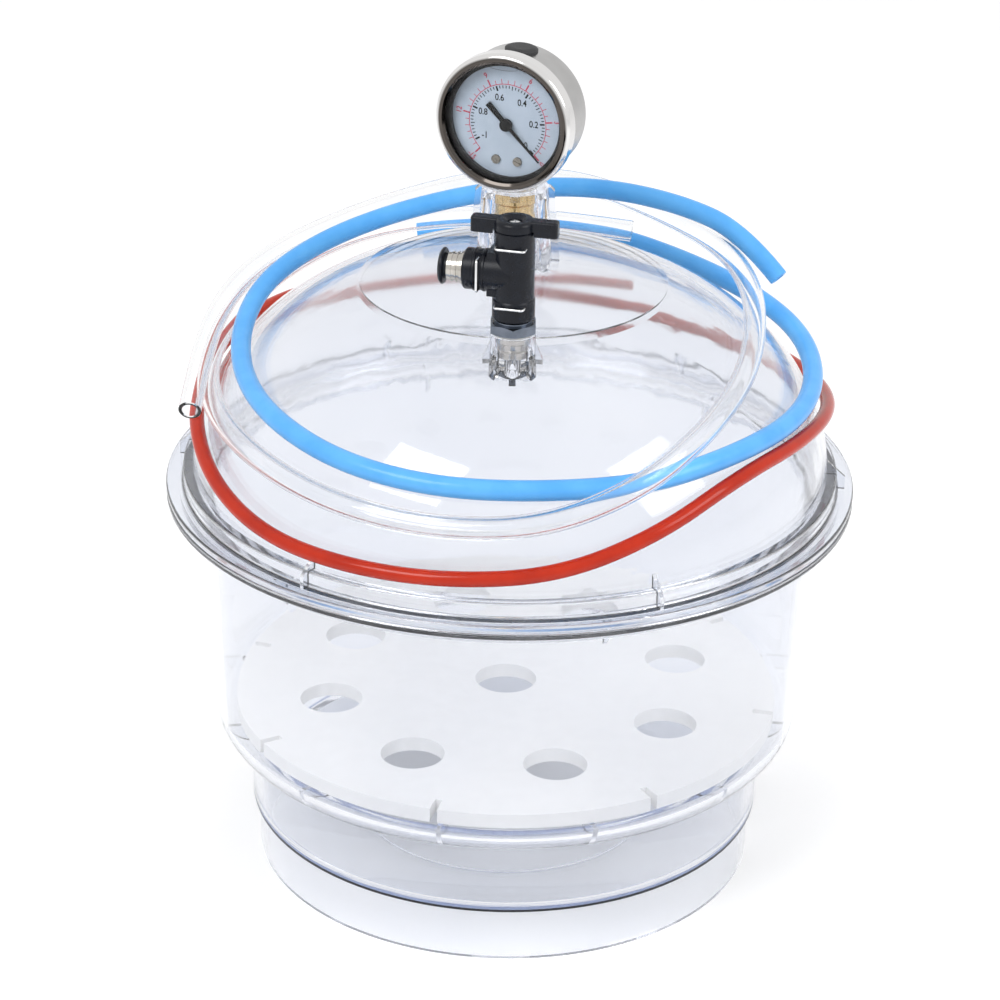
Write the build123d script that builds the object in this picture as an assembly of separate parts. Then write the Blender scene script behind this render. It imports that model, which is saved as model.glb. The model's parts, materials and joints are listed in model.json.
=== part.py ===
from build123d import *
import math
import os

# Vacuum chamber: a clear bowl and domed lid with a gauge, a hand valve and three hoses.
# Millimetres, +Z up. The origin is the centre of the foot's lower edge, on the surface that
# the chamber stands on. The front faces -Y.

# ------------------------------------------------------------------ clearances
SEAT_GAP = 0.3        # between two pieces that rest on each other and can part
RUN_GAP = 0.05        # radial clearance of a turning or sliding fit
SET_GAP = 0.03        # radial clearance of a piece that is pressed or screwed in

# ------------------------------------------------------------------ bowl
BOWL_TOP_R = 125.6    # bowl radius under the flange, from which the shells' other radii follow
BOWL_DRAFT = 4.2      # how much narrower the bowl is where its sides would meet the ledge
BOWL_CORNER_R = 14.0
LEDGE_W = 14.4        # from the neck out to there
FOOT_STEP = 2.8       # how far the foot stands in from the neck
SHELL_WALL = 4.0      # wall of both moulded shells
FOOT_WALL = 2.6
FOOT_HEIGHT = 23.6
LEDGE_Z = 55.5        # underside of the ledge between neck and bowl
FLOOR_T = 3.0
FLOOR_SAG = 17.6      # how far the dished floor hangs in the foot
PANEL_R = 61.6        # raised round panel in the middle of the floor and of the dome
PANEL_STEP = 0.7
RIM_ROUND = 1.0       # rounding of flange and foot edges

# ------------------------------------------------------------------ flanges and seal
FLANGE_Z = 162.2      # underside of the bowl's flange
BOWL_FLANGE_T = 2.8
BOWL_RING_W = 9.0     # stiffening ring under the bowl's flange
BOWL_RING_T = 3.2
FLANGE_LIP = 5.4      # how far both flanges reach past that ring
SEAL_REACH = 5.0      # from the bowl's side to the middle of the seal ring
SEAL_W = 5.0
SEAL_T = 1.6
SEAL_PROUD = 0.3
LID_FLANGE_T = 2.8
WEB_COUNT = 6
WEB_T = 1.6
WEB_START = -65.0     # degrees, of the lid's first web
BOWL_WEB_START = -73.0
BOWL_WEB_DROP = 7.0
BOWL_WEB_REACH = 6.0

# ------------------------------------------------------------------ plate
PLATE_REACH = 6.0     # how far the plate lies over the ledge
PLATE_T = 6.0
PLATE_Z = 67.0        # underside of the plate
PLATE_HOLE_R = 12.8
PLATE_HOLE_RING_R = 75.0
PLATE_HOLES = 8
PLATE_HOLE_START = 15.5
PLATE_NOTCH_W = 3.0
PLATE_NOTCH_L = 8.0
PLATE_NOTCH_START = 31.0
REST_RIBS = 12
REST_RIB_T = 2.0
REST_RIB_START = -72.5

# ------------------------------------------------------------------ lid
DOME_RISE = 87.5      # from the shoulder's top to where the ellipse would peak
SHOULDER_OVER = 2.4   # from the middle of the seal out to the shoulder's side
SHOULDER_W = 4.0
SHOULDER_H = 6.1
DOME_PEAK_Z = 261.2
LID_WEB_REACH = 3.3
LID_WEB_H = 5.2
LID_WEB_RISE = 11.6

# ------------------------------------------------------------------ gauge boss
GAUGE_BOSS_TOP = 291.5
GAUGE_BOSS_R = 13.2
GAUGE_BOSS_FOOT_R = 15.4
GAUGE_BOSS_RIBS = 8
GAUGE_BOSS_RIB_T = 4.0
GAUGE_BOSS_RIB_R = 15.6
GAUGE_BOSS_RIB_FOOT_R = 18.4
GAUGE_BOSS_CHAMFER = 1.8
GAUGE_INSERT_R = 9.0
GAUGE_INSERT_L = 16.0
GAUGE_VENT_R = 2.5

# ------------------------------------------------------------------ gauge
GAUGE_TURN = 21.0     # degrees that the gauge's face looks away from the front
GAUGE_Z = 321.3       # height of the gauge's centre
CASE_R = 26.0
CASE_T = 1.2
CASE_BACK = 9.6       # behind the stem's axis
CASE_FRONT = 12.0     # in front of the stem's axis
CASE_ROUND = 2.6
BEZEL_R = 27.9
BEZEL_BORE_R = 23.9
BEZEL_T = 2.4
BEZEL_SKIRT = 3.4
LENS_T = 1.8
GASKET_T = 1.0
DIAL_R = 23.3
DIAL_T = 0.6
DIAL_DEPTH = 1.8      # from the gasket's lip down to the dial
DIAL_DROP = 1.6       # how far the pointer's axis lies below the middle of the case
POINTER_TIP = 19.3
POINTER_TAIL = 11.0
POINTER_HUB_R = 2.5
POINTER_T = 0.6
POINTER_ANGLE = -45.0  # degrees, of the resting tip from the dial's right
ARBOR_R = 0.9
DIAL_SCREW_X = 4.45
DIAL_SCREW_Y = -14.8
DIAL_SCREW_HEAD_R = 1.8
DIAL_SCREW_R = 0.9
STEM_THREAD_R = 6.5
STEM_SQUARE = 13.6
STEM_NECK_R = 5.6
STEM_BORE_R = 1.6
STEM_WASHER_R = 9.0
STEM_WASHER_T = 0.6
STEM_THREAD_L = 11.5
BLOCK_W = 15.0
BLOCK_D = 10.0
BLOCK_TOP = -16.8     # top of the socket's block, from the pointer's axis
TUBE_R = 19.4         # middle line of the pressure tube's bend
TUBE_W = 6.4
TUBE_T = 2.2
TUBE_WALL = 0.5
TUBE_SPAN = 245.0
MOVEMENT_T = 1.0
MOVEMENT_BACK = -3.4
MOVEMENT_FRONT = 3.4
MOVEMENT_W = 14.0
GEAR_MODULE = 0.3
PINION_TEETH = 10
SECTOR_TEETH = 60     # on the whole circle that the sector is cut from
SECTOR_LEAD = 12.0    # degrees of sector that lie past the pinion at rest
SECTOR_SWING = 44.0
SECTOR_TAIL_L = 4.5
SECTOR_T = 1.2
PLUG_R = 6.5
PLUG_TURN = -3.7      # degrees, of the filler plug from the top of the case
PLUG_FORWARD = 0.2

# ------------------------------------------------------------------ valve
VALVE_Y = -72.0       # the valve stands on the front of the dome
VALVE_TURN = 13.0     # degrees that its port points behind the left
VALVE_BOSS_TOP = 258.5
VALVE_BOSS_R = 8.7
VALVE_BOSS_RIBS = 8
VALVE_BOSS_RIB_R = 11.4
VALVE_BOSS_RIB_T = 2.6
VALVE_BOSS_RIB_H = 7.0
VALVE_INSERT_R = 6.6
VALVE_INSERT_L = 8.4
VALVE_VENT_R = 2.0
STUD_THREAD_R = 4.86
STUD_WASHER_R = 7.9
STUD_WASHER_T = 0.8
STUD_HEX = 17.0
STUD_HEX_T = 4.0
STUD_COLLAR_R = 7.2
STUD_COLLAR_H = 1.2
STUD_NECK_R = 5.6
STUD_NECK_L = 10.6
STUD_BORE_R = 2.5
HOUSING_R = 7.75
HOUSING_COLLAR_R = 8.15
HOUSING_COLLAR_H = 8.1
HOUSING_TOP = 300.0
PORT_Z = 282.7
PORT_R = 7.9
PORT_RIDGE = 0.35     # height of the two ridges beside the port's clip
PORT_SHOULDER = 9.4   # from the valve's axis to the face of the block that the port grows from
PORT_REACH = 18.8
PORT_FLOOR = 7.9     # from the valve's axis to the port's inner floor
HOSE_BORE_R = 4.1
SPINDLE_R = 5.45
SPINDLE_SQUARE = 6.0
SPINDLE_SQUARE_H = 1.3
CLIP_WIRE_R = 0.5
CLIP_HALF_W = 5.5
CLIP_DEPTH = 12.0
CLIP_LOW_Z = 271.0
CLIP_HIGH_Z = 294.2
CLIP_PORT_X = 12.6
CLIP_PORT_HALF_W = 6.15
CLIP_GROOVE_R = 4.8   # floor of the grooves that the clips run in
CLIP_PORT_GROOVE_R = 5.5
SLEEVE_R = 6.4
SLEEVE_BORE_R = 5.0
SLEEVE_START = 11.0
SLEEVE_END = 25.1
SLEEVE_STEPS = ((19.6, 6.1), (20.1, 5.5), (21.3, 5.9), (21.8, 5.4), (23.3, 5.7), (23.8, 5.35))
RELEASE_R = 7.0
RELEASE_T = 1.7
RELEASE_TRAVEL = 1.2  # how far the release ring is pushed in
RELEASE_STOP = 0.2    # left between its flange and the sleeve when it is pushed in
RELEASE_END = SLEEVE_END + RELEASE_STOP + RELEASE_TRAVEL + RELEASE_T
PORT_SEAL_H = 2.2
GRIP_BACK = PORT_FLOOR + PORT_SEAL_H + 0.1
GRIP_T = 0.4
NOSE_START = GRIP_BACK + GRIP_T + SEAT_GAP + RELEASE_TRAVEL
HANDLE_L = 33.4
HANDLE_T = 5.6
HANDLE_H = 5.9
HANDLE_HUB_R = 7.8
HANDLE_CROWN = 4.0    # of the hub above the housing
HANDLE_EDGE = 1.9     # rounding of the hub's upper edge
HANDLE_SCREW_R = 2.5
HANDLE_SEAT = 2.2     # how far the screw's seat lies below the hub's top
O_RING_R = 0.5

# ------------------------------------------------------------------ hoses: outer diameter, bore and route
BLUE_OD = 8.0
CLEAR_OD = 9.0
RED_OD = 6.0
BLUE_ROUTE = [
    (109, 37, 240), (94, 47, 256), (68, 56, 265), (33, 64, 269), (-6, 67, 266), (-45, 63, 258),
    (-78, 50, 249), (-101, 26, 240), (-109, -6, 231), (-105, -42, 225), (-90, -75, 221),
    (-63, -103, 217), (-27, -119, 215), (13, -121, 215), (53, -110, 214), (87, -85, 216),
    (111, -51, 215), (122, -13, 216), (119, 23, 221), (102, 53, 226), (74, 76, 232),
    (40, 92, 238), (1, 98, 239), (-41, 96, 234)]
CLEAR_ROUTE = [
    (-125, -52, 215), (-123, -25, 226), (-118, 5, 236), (-106, 34, 243), (-83, 58, 249),
    (-48, 74, 258), (-9, 81, 266), (28, 80, 266), (62, 69, 256), (87, 49, 249), (97, 18, 243),
    (96, -22, 238), (88, -63, 234), (71, -99, 228), (46, -124, 217), (10, -132, 205),
    (-31, -126, 202), (-67, -110, 204), (-96, -83, 208), (-115, -48, 211), (-123, -10, 215),
    (-117, 26, 222), (-97, 56, 233), (-68, 75, 243), (-33, 84, 247), (7, 86, 247), (50, 81, 243)]
RED_ROUTE = [
    (55, 112, 210), (15, 125, 207), (-24, 124, 207), (-60, 109, 209), (-91, 82, 213),
    (-113, 48, 213), (-125, 9, 208), (-126, -30, 200), (-115, -66, 190), (-93, -96, 183),
    (-61, -119, 182), (-23, -132, 183), (18, -132, 186), (55, -119, 197), (87, -91, 209),
    (114, -54, 208), (129, -11, 203), (127, 33, 197), (109, 72, 195), (81, 104, 194),
    (45, 123, 195), (3, 130, 197)]
BEND_SHARE = 0.45     # of the shorter run, that each bend takes up

# ------------------------------------------------------------------ sizes worked out from the above
BOWL_LOW_R = BOWL_TOP_R - BOWL_DRAFT
NECK_R = BOWL_LOW_R - LEDGE_W
FOOT_R = NECK_R - FOOT_STEP
BOWL_RING_R = BOWL_TOP_R + BOWL_RING_W
FLANGE_R = BOWL_RING_R + FLANGE_LIP
SEAL_R = BOWL_TOP_R + SEAL_REACH
SHOULDER_R = SEAL_R + SHOULDER_OVER
DOME_R = SHOULDER_R - SHOULDER_W
LID_WEB_R = SHOULDER_R + LID_WEB_REACH
PLATE_R = NECK_R + PLATE_REACH
BOWL_TOP_Z = FLANGE_Z + BOWL_FLANGE_T
SEAL_TOP_Z = BOWL_TOP_Z + SEAL_PROUD
LID_Z = SEAL_TOP_Z + SEAT_GAP
LID_TOP_Z = LID_Z + LID_FLANGE_T
DOME_Z = LID_TOP_Z + SHOULDER_H
FLOOR_LOW = FOOT_HEIGHT - FLOOR_SAG
STEM_PLANE = Plane((0, 0, GAUGE_Z),
                   x_dir=(math.cos(math.radians(GAUGE_TURN)), -math.sin(math.radians(GAUGE_TURN)), 0),
                   z_dir=(-math.sin(math.radians(GAUGE_TURN)), -math.cos(math.radians(GAUGE_TURN)), 0))
LENS_FACE = CASE_FRONT + LENS_T          # along the gauge's axis, from the stem's axis
DIAL_FACE = CASE_FRONT - GASKET_T - DIAL_DEPTH
SECTOR_PITCH_R = GEAR_MODULE * SECTOR_TEETH / 2
PINION_PITCH_R = GEAR_MODULE * PINION_TEETH / 2
SECTOR_Y = -(SECTOR_PITCH_R + PINION_PITCH_R)
STUD_Z = VALVE_BOSS_TOP + STUD_WASHER_T
HOUSING_Z = STUD_Z + STUD_HEX_T + STUD_COLLAR_H + SEAT_GAP
VALVE_AXIS = Pos(0, VALVE_Y, 0) * Rot(0, 0, 180 - VALVE_TURN)   # local +X runs out of the port
PORT_AXIS = VALVE_AXIS * Pos(0, 0, PORT_Z) * Rot(0, 90, 0)      # local +Z runs out of the port


# ------------------------------------------------------------------ helpers
def spin(*steps):
    """A solid of revolution about Z. Each step is a point (radius, height), or an edge
    that starts where the last one ended."""
    edges = []
    first = here = steps[0]
    for step in steps[1:] + (first,):
        if isinstance(step, tuple):
            if math.dist(here, step) < 1e-6:
                continue
            edges.append(Line(here, step))
            here = step
        else:
            edges.append(step)
            end = step.position_at(1)
            here = (end.X, end.Y)
    return revolve(Plane.XZ * make_face(edges), Axis.Z)


def tube(radius, bore, low, high):
    """A plain ring between two heights."""
    return spin((bore, low), (radius, low), (radius, high), (bore, high))


def rod(radius, low, high):
    return Pos(0, 0, low) * Cylinder(radius, high - low, align=(Align.CENTER, Align.CENTER, Align.MIN))


def around(count, start=0.0):
    """Turns about Z, evenly spaced."""
    return [Rot(0, 0, start + 360.0 * n / count) for n in range(count)]


def web(points, thickness):
    """A flat web in the plane of X and Z, centred on it."""
    face = Plane.XZ * make_face(Polyline(*points, close=True))
    return extrude(face, thickness / 2, both=True)


def dish_height(radius, low, edge_r, edge_z):
    """Height at a radius of a ball-shaped dish that is level at its middle."""
    rise = edge_z - low
    ball = (edge_r ** 2 + rise ** 2) / (2 * rise)
    return low + ball - math.copysign(math.sqrt(ball ** 2 - radius ** 2), ball)


def dish_arc(start_r, end_r, low, edge_r, edge_z, lift=0.0):
    """Edge along such a dish, between two radii."""
    def at(radius):
        return radius, dish_height(radius, low, edge_r, edge_z) + lift
    return ThreePointArc(at(start_r), at((start_r + end_r) / 2), at(end_r))


def ellipse_edge(radius_x, radius_z, middle_z, inner_r):
    """Edge of the dome, between its base and the radius where the panel starts."""
    angle = math.degrees(math.acos(inner_r / radius_x))
    return EllipticalCenterArc((0, middle_z), radius_x, radius_z, 0, arc_size=angle)


# ------------------------------------------------------------------ bowl, plate and seal
def make_bowl():
    inner_foot_r = FOOT_R - FOOT_WALL
    inner_neck_r = NECK_R - SHELL_WALL
    floor_z = FOOT_HEIGHT + FLOOR_T
    top_low = FLOOR_LOW + FLOOR_T
    groove_low = BOWL_TOP_Z - (SEAL_T - SEAL_PROUD)
    groove_half = SEAL_W / 2 + SEAT_GAP
    slope = (BOWL_TOP_R - BOWL_LOW_R) / (FLANGE_Z - LEDGE_Z)
    inner_corner_r = BOWL_CORNER_R - SHELL_WALL
    panel_z = dish_height(PANEL_R, top_low, inner_neck_r, floor_z)
    outline = [
        Line((inner_foot_r, 0), (FOOT_R, 0)),
        Line((FOOT_R, 0), (FOOT_R, FOOT_HEIGHT)),
        Line((FOOT_R, FOOT_HEIGHT), (NECK_R, FOOT_HEIGHT)),
        Line((NECK_R, FOOT_HEIGHT), (NECK_R, LEDGE_Z)),
        FilletPolyline((NECK_R, LEDGE_Z), (BOWL_LOW_R, LEDGE_Z),
                       (BOWL_TOP_R, FLANGE_Z - BOWL_RING_T), radius=BOWL_CORNER_R),
        Line((BOWL_TOP_R, FLANGE_Z - BOWL_RING_T), (BOWL_RING_R, FLANGE_Z - BOWL_RING_T)),
        Line((BOWL_RING_R, FLANGE_Z - BOWL_RING_T), (BOWL_RING_R, FLANGE_Z)),
        FilletPolyline((BOWL_RING_R, FLANGE_Z), (FLANGE_R, FLANGE_Z),
                       (FLANGE_R, BOWL_TOP_Z), (SEAL_R + groove_half, BOWL_TOP_Z), radius=RIM_ROUND),
        Line((SEAL_R + groove_half, BOWL_TOP_Z), (SEAL_R + groove_half, groove_low)),
        Line((SEAL_R + groove_half, groove_low), (SEAL_R - groove_half, groove_low)),
        Line((SEAL_R - groove_half, groove_low), (SEAL_R - groove_half, BOWL_TOP_Z)),
        Line((SEAL_R - groove_half, BOWL_TOP_Z), (BOWL_TOP_R - SHELL_WALL, BOWL_TOP_Z)),
        FilletPolyline((BOWL_TOP_R - SHELL_WALL, BOWL_TOP_Z),
                       (BOWL_LOW_R - SHELL_WALL + slope * SHELL_WALL, LEDGE_Z + SHELL_WALL),
                       (inner_neck_r, LEDGE_Z + SHELL_WALL), radius=inner_corner_r),
        Line((inner_neck_r, LEDGE_Z + SHELL_WALL), (inner_neck_r, floor_z)),
        dish_arc(inner_neck_r, PANEL_R, top_low, inner_neck_r, floor_z),
        Line((PANEL_R, panel_z), (PANEL_R, panel_z + PANEL_STEP)),
        dish_arc(PANEL_R, 0, top_low, inner_neck_r, floor_z, PANEL_STEP),
        Line((0, top_low + PANEL_STEP), (0, FLOOR_LOW)),
        dish_arc(0, inner_foot_r, FLOOR_LOW, inner_foot_r, FOOT_HEIGHT),
        Line((inner_foot_r, FOOT_HEIGHT), (inner_foot_r, 0)),
    ]
    bowl = revolve(Plane.XZ * make_face(outline), Axis.Z)
    ribs = [turn * rest_rib() for turn in around(REST_RIBS, REST_RIB_START)]
    webs = [turn * bowl_web() for turn in around(WEB_COUNT, BOWL_WEB_START)]
    return bowl.fuse(*ribs, *webs)


def rest_rib():
    """A rib on the ledge, on which the plate rests. Its root stays in the middle of the wall."""
    middle_r = BOWL_LOW_R - BOWL_CORNER_R
    middle_z = LEDGE_Z + BOWL_CORNER_R
    bend = BOWL_CORNER_R - SHELL_WALL / 2
    low = middle_z - bend
    diagonal = bend * math.sqrt(0.5)
    outer = middle_r + math.sqrt(bend ** 2 - (middle_z - PLATE_Z) ** 2)
    inner = NECK_R - SHELL_WALL + REST_RIB_T / 2
    return web([(inner, low), (middle_r, low), (middle_r + diagonal, middle_z - diagonal),
                (outer, PLATE_Z), (inner, PLATE_Z)], REST_RIB_T)


def bowl_web():
    """A web between the bowl's side and the ring under its flange."""
    high = FLANGE_Z - BOWL_RING_T / 2
    low = FLANGE_Z - BOWL_RING_T
    root = BOWL_TOP_R - SHELL_WALL / 2
    return web([(root, high), (BOWL_TOP_R + BOWL_WEB_REACH, high), (BOWL_TOP_R + BOWL_WEB_REACH, low),
                (BOWL_TOP_R, low - BOWL_WEB_DROP), (root, low - BOWL_WEB_DROP)], WEB_T)


def make_plate():
    """The white plate: one hole in the middle, a ring of eight, and notches in its edge."""
    plate = rod(PLATE_R, PLATE_Z, PLATE_Z + PLATE_T)
    hole = rod(PLATE_HOLE_R, PLATE_Z - 1, PLATE_Z + PLATE_T + 1)
    notch = Pos(PLATE_R, 0, PLATE_Z + PLATE_T / 2) * Box(2 * PLATE_NOTCH_L, PLATE_NOTCH_W, 2 * PLATE_T)
    cuts = [hole]
    cuts += [turn * Pos(PLATE_HOLE_RING_R, 0, 0) * hole for turn in around(PLATE_HOLES, PLATE_HOLE_START)]
    cuts += [turn * notch for turn in around(PLATE_HOLES, PLATE_NOTCH_START)]
    return plate.cut(*cuts)


def make_seal():
    return tube(SEAL_R + SEAL_W / 2, SEAL_R - SEAL_W / 2, SEAL_TOP_Z - SEAL_T, SEAL_TOP_Z)


# ------------------------------------------------------------------ lid
def lid_outside():
    """The lid's outer form, filled."""
    step_z = DOME_Z + DOME_RISE * math.sqrt(1 - (PANEL_R / DOME_R) ** 2)
    outline = [
        Line((0, LID_Z), (FLANGE_R - RIM_ROUND, LID_Z)),
        FilletPolyline((FLANGE_R - RIM_ROUND, LID_Z), (FLANGE_R, LID_Z), (FLANGE_R, LID_TOP_Z),
                       (SHOULDER_R, LID_TOP_Z), (SHOULDER_R, DOME_Z), (DOME_R, DOME_Z),
                       radius=RIM_ROUND * 0.9),
        ellipse_edge(DOME_R, DOME_RISE, DOME_Z, PANEL_R),
        Line((PANEL_R, step_z), (PANEL_R, step_z + PANEL_STEP)),
        dish_arc(PANEL_R, 0, DOME_PEAK_Z, PANEL_R, step_z + PANEL_STEP),
        Line((0, DOME_PEAK_Z), (0, LID_Z)),
    ]
    return revolve(Plane.XZ * make_face(outline), Axis.Z)


def lid_inside():
    """The space inside the lid, which its bosses don't enter."""
    radius = DOME_R - SHELL_WALL
    rise = DOME_RISE - SHELL_WALL
    step_z = DOME_Z + rise * math.sqrt(1 - (PANEL_R / radius) ** 2)
    outline = [
        Line((0, LID_Z - 1), (radius, LID_Z - 1)),
        Line((radius, LID_Z - 1), (radius, DOME_Z)),
        ellipse_edge(radius, rise, DOME_Z, PANEL_R),
        dish_arc(PANEL_R, 0, DOME_PEAK_Z - SHELL_WALL, PANEL_R, step_z),
        Line((0, DOME_PEAK_Z - SHELL_WALL), (0, LID_Z - 1)),
    ]
    return revolve(Plane.XZ * make_face(outline), Axis.Z)


def lid_web():
    """A web between the lid's flange and the foot of the dome."""
    root = DOME_R - SHELL_WALL / 2
    low = LID_TOP_Z - LID_FLANGE_T / 2
    return web([(root, low), (LID_WEB_R, low), (LID_WEB_R, LID_TOP_Z + LID_WEB_H),
                (DOME_R, LID_TOP_Z + LID_WEB_RISE), (root, LID_TOP_Z + LID_WEB_RISE)], WEB_T)


def gauge_boss():
    """The tall ribbed boss in the middle of the dome."""
    foot = DOME_PEAK_Z - SHELL_WALL
    core = spin((0, foot), (GAUGE_BOSS_FOOT_R, foot), (GAUGE_BOSS_R, GAUGE_BOSS_TOP), (0, GAUGE_BOSS_TOP))
    rib = web([(1, foot), (GAUGE_BOSS_RIB_FOOT_R, foot),
               (GAUGE_BOSS_RIB_R, GAUGE_BOSS_TOP - GAUGE_BOSS_CHAMFER),
               (GAUGE_BOSS_RIB_R - GAUGE_BOSS_CHAMFER, GAUGE_BOSS_TOP), (1, GAUGE_BOSS_TOP)],
              GAUGE_BOSS_RIB_T)
    return core.fuse(*[turn * rib for turn in around(GAUGE_BOSS_RIBS)])


def valve_boss():
    """The short boss on the front of the dome, with a scalloped foot."""
    foot = VALVE_BOSS_TOP - 2 * VALVE_BOSS_R
    shoulder = VALVE_BOSS_TOP - VALVE_BOSS_RIB_H / 2
    core = rod(VALVE_BOSS_R, foot, VALVE_BOSS_TOP)
    rib = web([(1, foot), (VALVE_BOSS_RIB_R, foot), (VALVE_BOSS_RIB_R, shoulder - VALVE_BOSS_RIB_H),
               (VALVE_BOSS_R - 0.2, shoulder), (1, shoulder)], VALVE_BOSS_RIB_T)
    return Pos(0, VALVE_Y, 0) * core.fuse(*[turn * rib for turn in around(VALVE_BOSS_RIBS)])


def make_lid():
    gauge_hole = rod(GAUGE_INSERT_R + SET_GAP, GAUGE_BOSS_TOP - GAUGE_INSERT_L - SET_GAP, GAUGE_BOSS_TOP + 1)
    gauge_vent = rod(GAUGE_VENT_R, DOME_Z, GAUGE_BOSS_TOP)
    valve_hole = rod(VALVE_INSERT_R + SET_GAP, VALVE_BOSS_TOP - VALVE_INSERT_L - SET_GAP, VALVE_BOSS_TOP + 1)
    valve_vent = rod(VALVE_VENT_R, DOME_Z, VALVE_BOSS_TOP)
    webs = [turn * lid_web() for turn in around(WEB_COUNT, WEB_START)]
    lid = lid_outside().fuse(gauge_boss(), valve_boss(), *webs)
    return lid.cut(lid_inside(), gauge_hole, gauge_vent,
                   Pos(0, VALVE_Y, 0) * valve_hole, Pos(0, VALVE_Y, 0) * valve_vent)


def make_gauge_insert():
    """Threaded brass bush in the gauge's boss, with a waist that keys it into the plastic."""
    top = GAUGE_BOSS_TOP
    low = top - GAUGE_INSERT_L
    bore = STEM_THREAD_R + SET_GAP
    waist = GAUGE_INSERT_R - 0.8
    return spin((bore, low), (GAUGE_INSERT_R, low), (GAUGE_INSERT_R, low + 5), (waist, low + 6),
                (waist, top - 6), (GAUGE_INSERT_R, top - 5), (GAUGE_INSERT_R, top), (bore, top))


def make_valve_insert():
    """Threaded brass bush in the valve's boss."""
    top = VALVE_BOSS_TOP
    low = top - VALVE_INSERT_L
    bore = STUD_THREAD_R + SET_GAP
    waist = VALVE_INSERT_R - 0.6
    bush = spin((bore, low), (VALVE_INSERT_R, low), (VALVE_INSERT_R, low + 2.5), (waist, low + 3),
                (waist, top - 3), (VALVE_INSERT_R, top - 2.5), (VALVE_INSERT_R, top), (bore, top))
    return Pos(0, VALVE_Y, 0) * bush


# ------------------------------------------------------------------ gauge
def gauge(shape):
    """Puts a piece drawn about the gauge's own axis, X right, Y up, Z out of the face, in place."""
    return STEM_PLANE.location * shape


def works(shape):
    """The same for a piece drawn about the pointer's axis."""
    return gauge(Pos(0, -DIAL_DROP, 0) * shape)


def hole_in_case(radius):
    return Rot(90, 0, 0) * rod(radius, 0, 2 * CASE_R)


def make_case():
    """Pressed steel cup, with a hole for the socket below and one for the filler plug above."""
    inner = CASE_R - CASE_T
    corner = FilletPolyline((0, -CASE_BACK), (CASE_R, -CASE_BACK), (CASE_R, CASE_FRONT), radius=CASE_ROUND)
    cup = spin((0, -CASE_BACK), corner, (inner, CASE_FRONT), (inner, CASE_T - CASE_BACK),
               (0, CASE_T - CASE_BACK))
    below = hole_in_case(STEM_NECK_R + SET_GAP)
    above = plug_place() * rod(PLUG_R - 0.8, CASE_R / 2, 2 * CASE_R)
    return gauge(cup.cut(below, above))


def plug_place():
    """The filler plug's axis: local +Z runs outward through the top of the case."""
    return Rot(0, 0, PLUG_TURN) * Pos(0, 0, PLUG_FORWARD) * Rot(-90, 0, 0)


def make_bezel():
    """Polished ring that closes round the front edge of the case."""
    front = LENS_FACE + BEZEL_T
    back = CASE_FRONT - BEZEL_SKIRT
    skirt_r = CASE_R + SET_GAP
    crown = ThreePointArc((BEZEL_R, front - 2.2), (BEZEL_R - 0.6, front - 0.65), (BEZEL_R - 2.1, front))
    return gauge(spin((skirt_r, back), (BEZEL_R - 0.7, back), (BEZEL_R, back + 0.8), (BEZEL_R, front - 2.2),
                      crown, (BEZEL_BORE_R + 1.0, front), (BEZEL_BORE_R, front - 0.6),
                      (BEZEL_BORE_R, LENS_FACE + SET_GAP), (skirt_r, LENS_FACE + SET_GAP)))


def make_lens():
    return gauge(rod(CASE_R - 0.4, CASE_FRONT, LENS_FACE))


def make_gasket():
    """Black ring that holds the dial down and the lens up."""
    outer = CASE_R - CASE_T - SET_GAP
    bore = DIAL_R - 0.4
    lip = CASE_FRONT - GASKET_T
    return gauge(spin((bore, DIAL_FACE), (outer, DIAL_FACE), (outer, CASE_FRONT), (bore - 0.6, CASE_FRONT),
                      (bore - 0.6, lip), (bore, lip - 0.6)))


def make_dial():
    dial = rod(DIAL_R, DIAL_FACE - DIAL_T, DIAL_FACE)
    low = DIAL_FACE - 2 * DIAL_T
    holes = [rod(ARBOR_R + 0.5, low, DIAL_FACE + 1)]
    holes += [Pos(side * DIAL_SCREW_X, DIAL_SCREW_Y, 0) * rod(DIAL_SCREW_R + 0.1, low, DIAL_FACE + 1)
              for side in (-1, 1)]
    return gauge(dial.cut(*[Pos(0, -DIAL_DROP, 0) * hole for hole in holes]))


def make_dial_screws():
    """Two slotted screws that hold the dial to the movement."""
    screws = []
    head = rod(DIAL_SCREW_HEAD_R, DIAL_FACE, DIAL_FACE + 0.8)
    slot = Pos(0, 0, DIAL_FACE + 0.8) * Box(2 * DIAL_SCREW_HEAD_R + 1, 0.5, 0.8)
    shank = rod(DIAL_SCREW_R, MOVEMENT_FRONT - MOVEMENT_T, DIAL_FACE + 0.1)
    for side, turn in ((-1, 35), (1, -20)):
        screws.append(Pos(side * DIAL_SCREW_X, DIAL_SCREW_Y, 0) * (head - Rot(0, 0, turn) * slot + shank))
    return works(Compound(children=screws))


def make_pointer():
    """Flat needle: a thin tip, a wide tail and a turned hub."""
    z = DIAL_FACE + 1.2
    tip = [(0, 0.75), (POINTER_TIP, 0.16), (POINTER_TIP, -0.16), (0, -0.75)]
    tail = [(0, 0.85), (-POINTER_TAIL, 1.15), (-POINTER_TAIL, -1.15), (0, -0.85)]
    needle = [extrude(make_face(Polyline(*shape, close=True)), POINTER_T) for shape in (tip, tail)]
    hub = rod(POINTER_HUB_R, 0, POINTER_T + 0.7)
    whole = Pos(0, 0, z) * hub.fuse(*needle)
    return works(Rot(0, 0, POINTER_ANGLE) * (whole - rod(ARBOR_R + SET_GAP, z - 1, z + POINTER_T + 0.2)))


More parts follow.
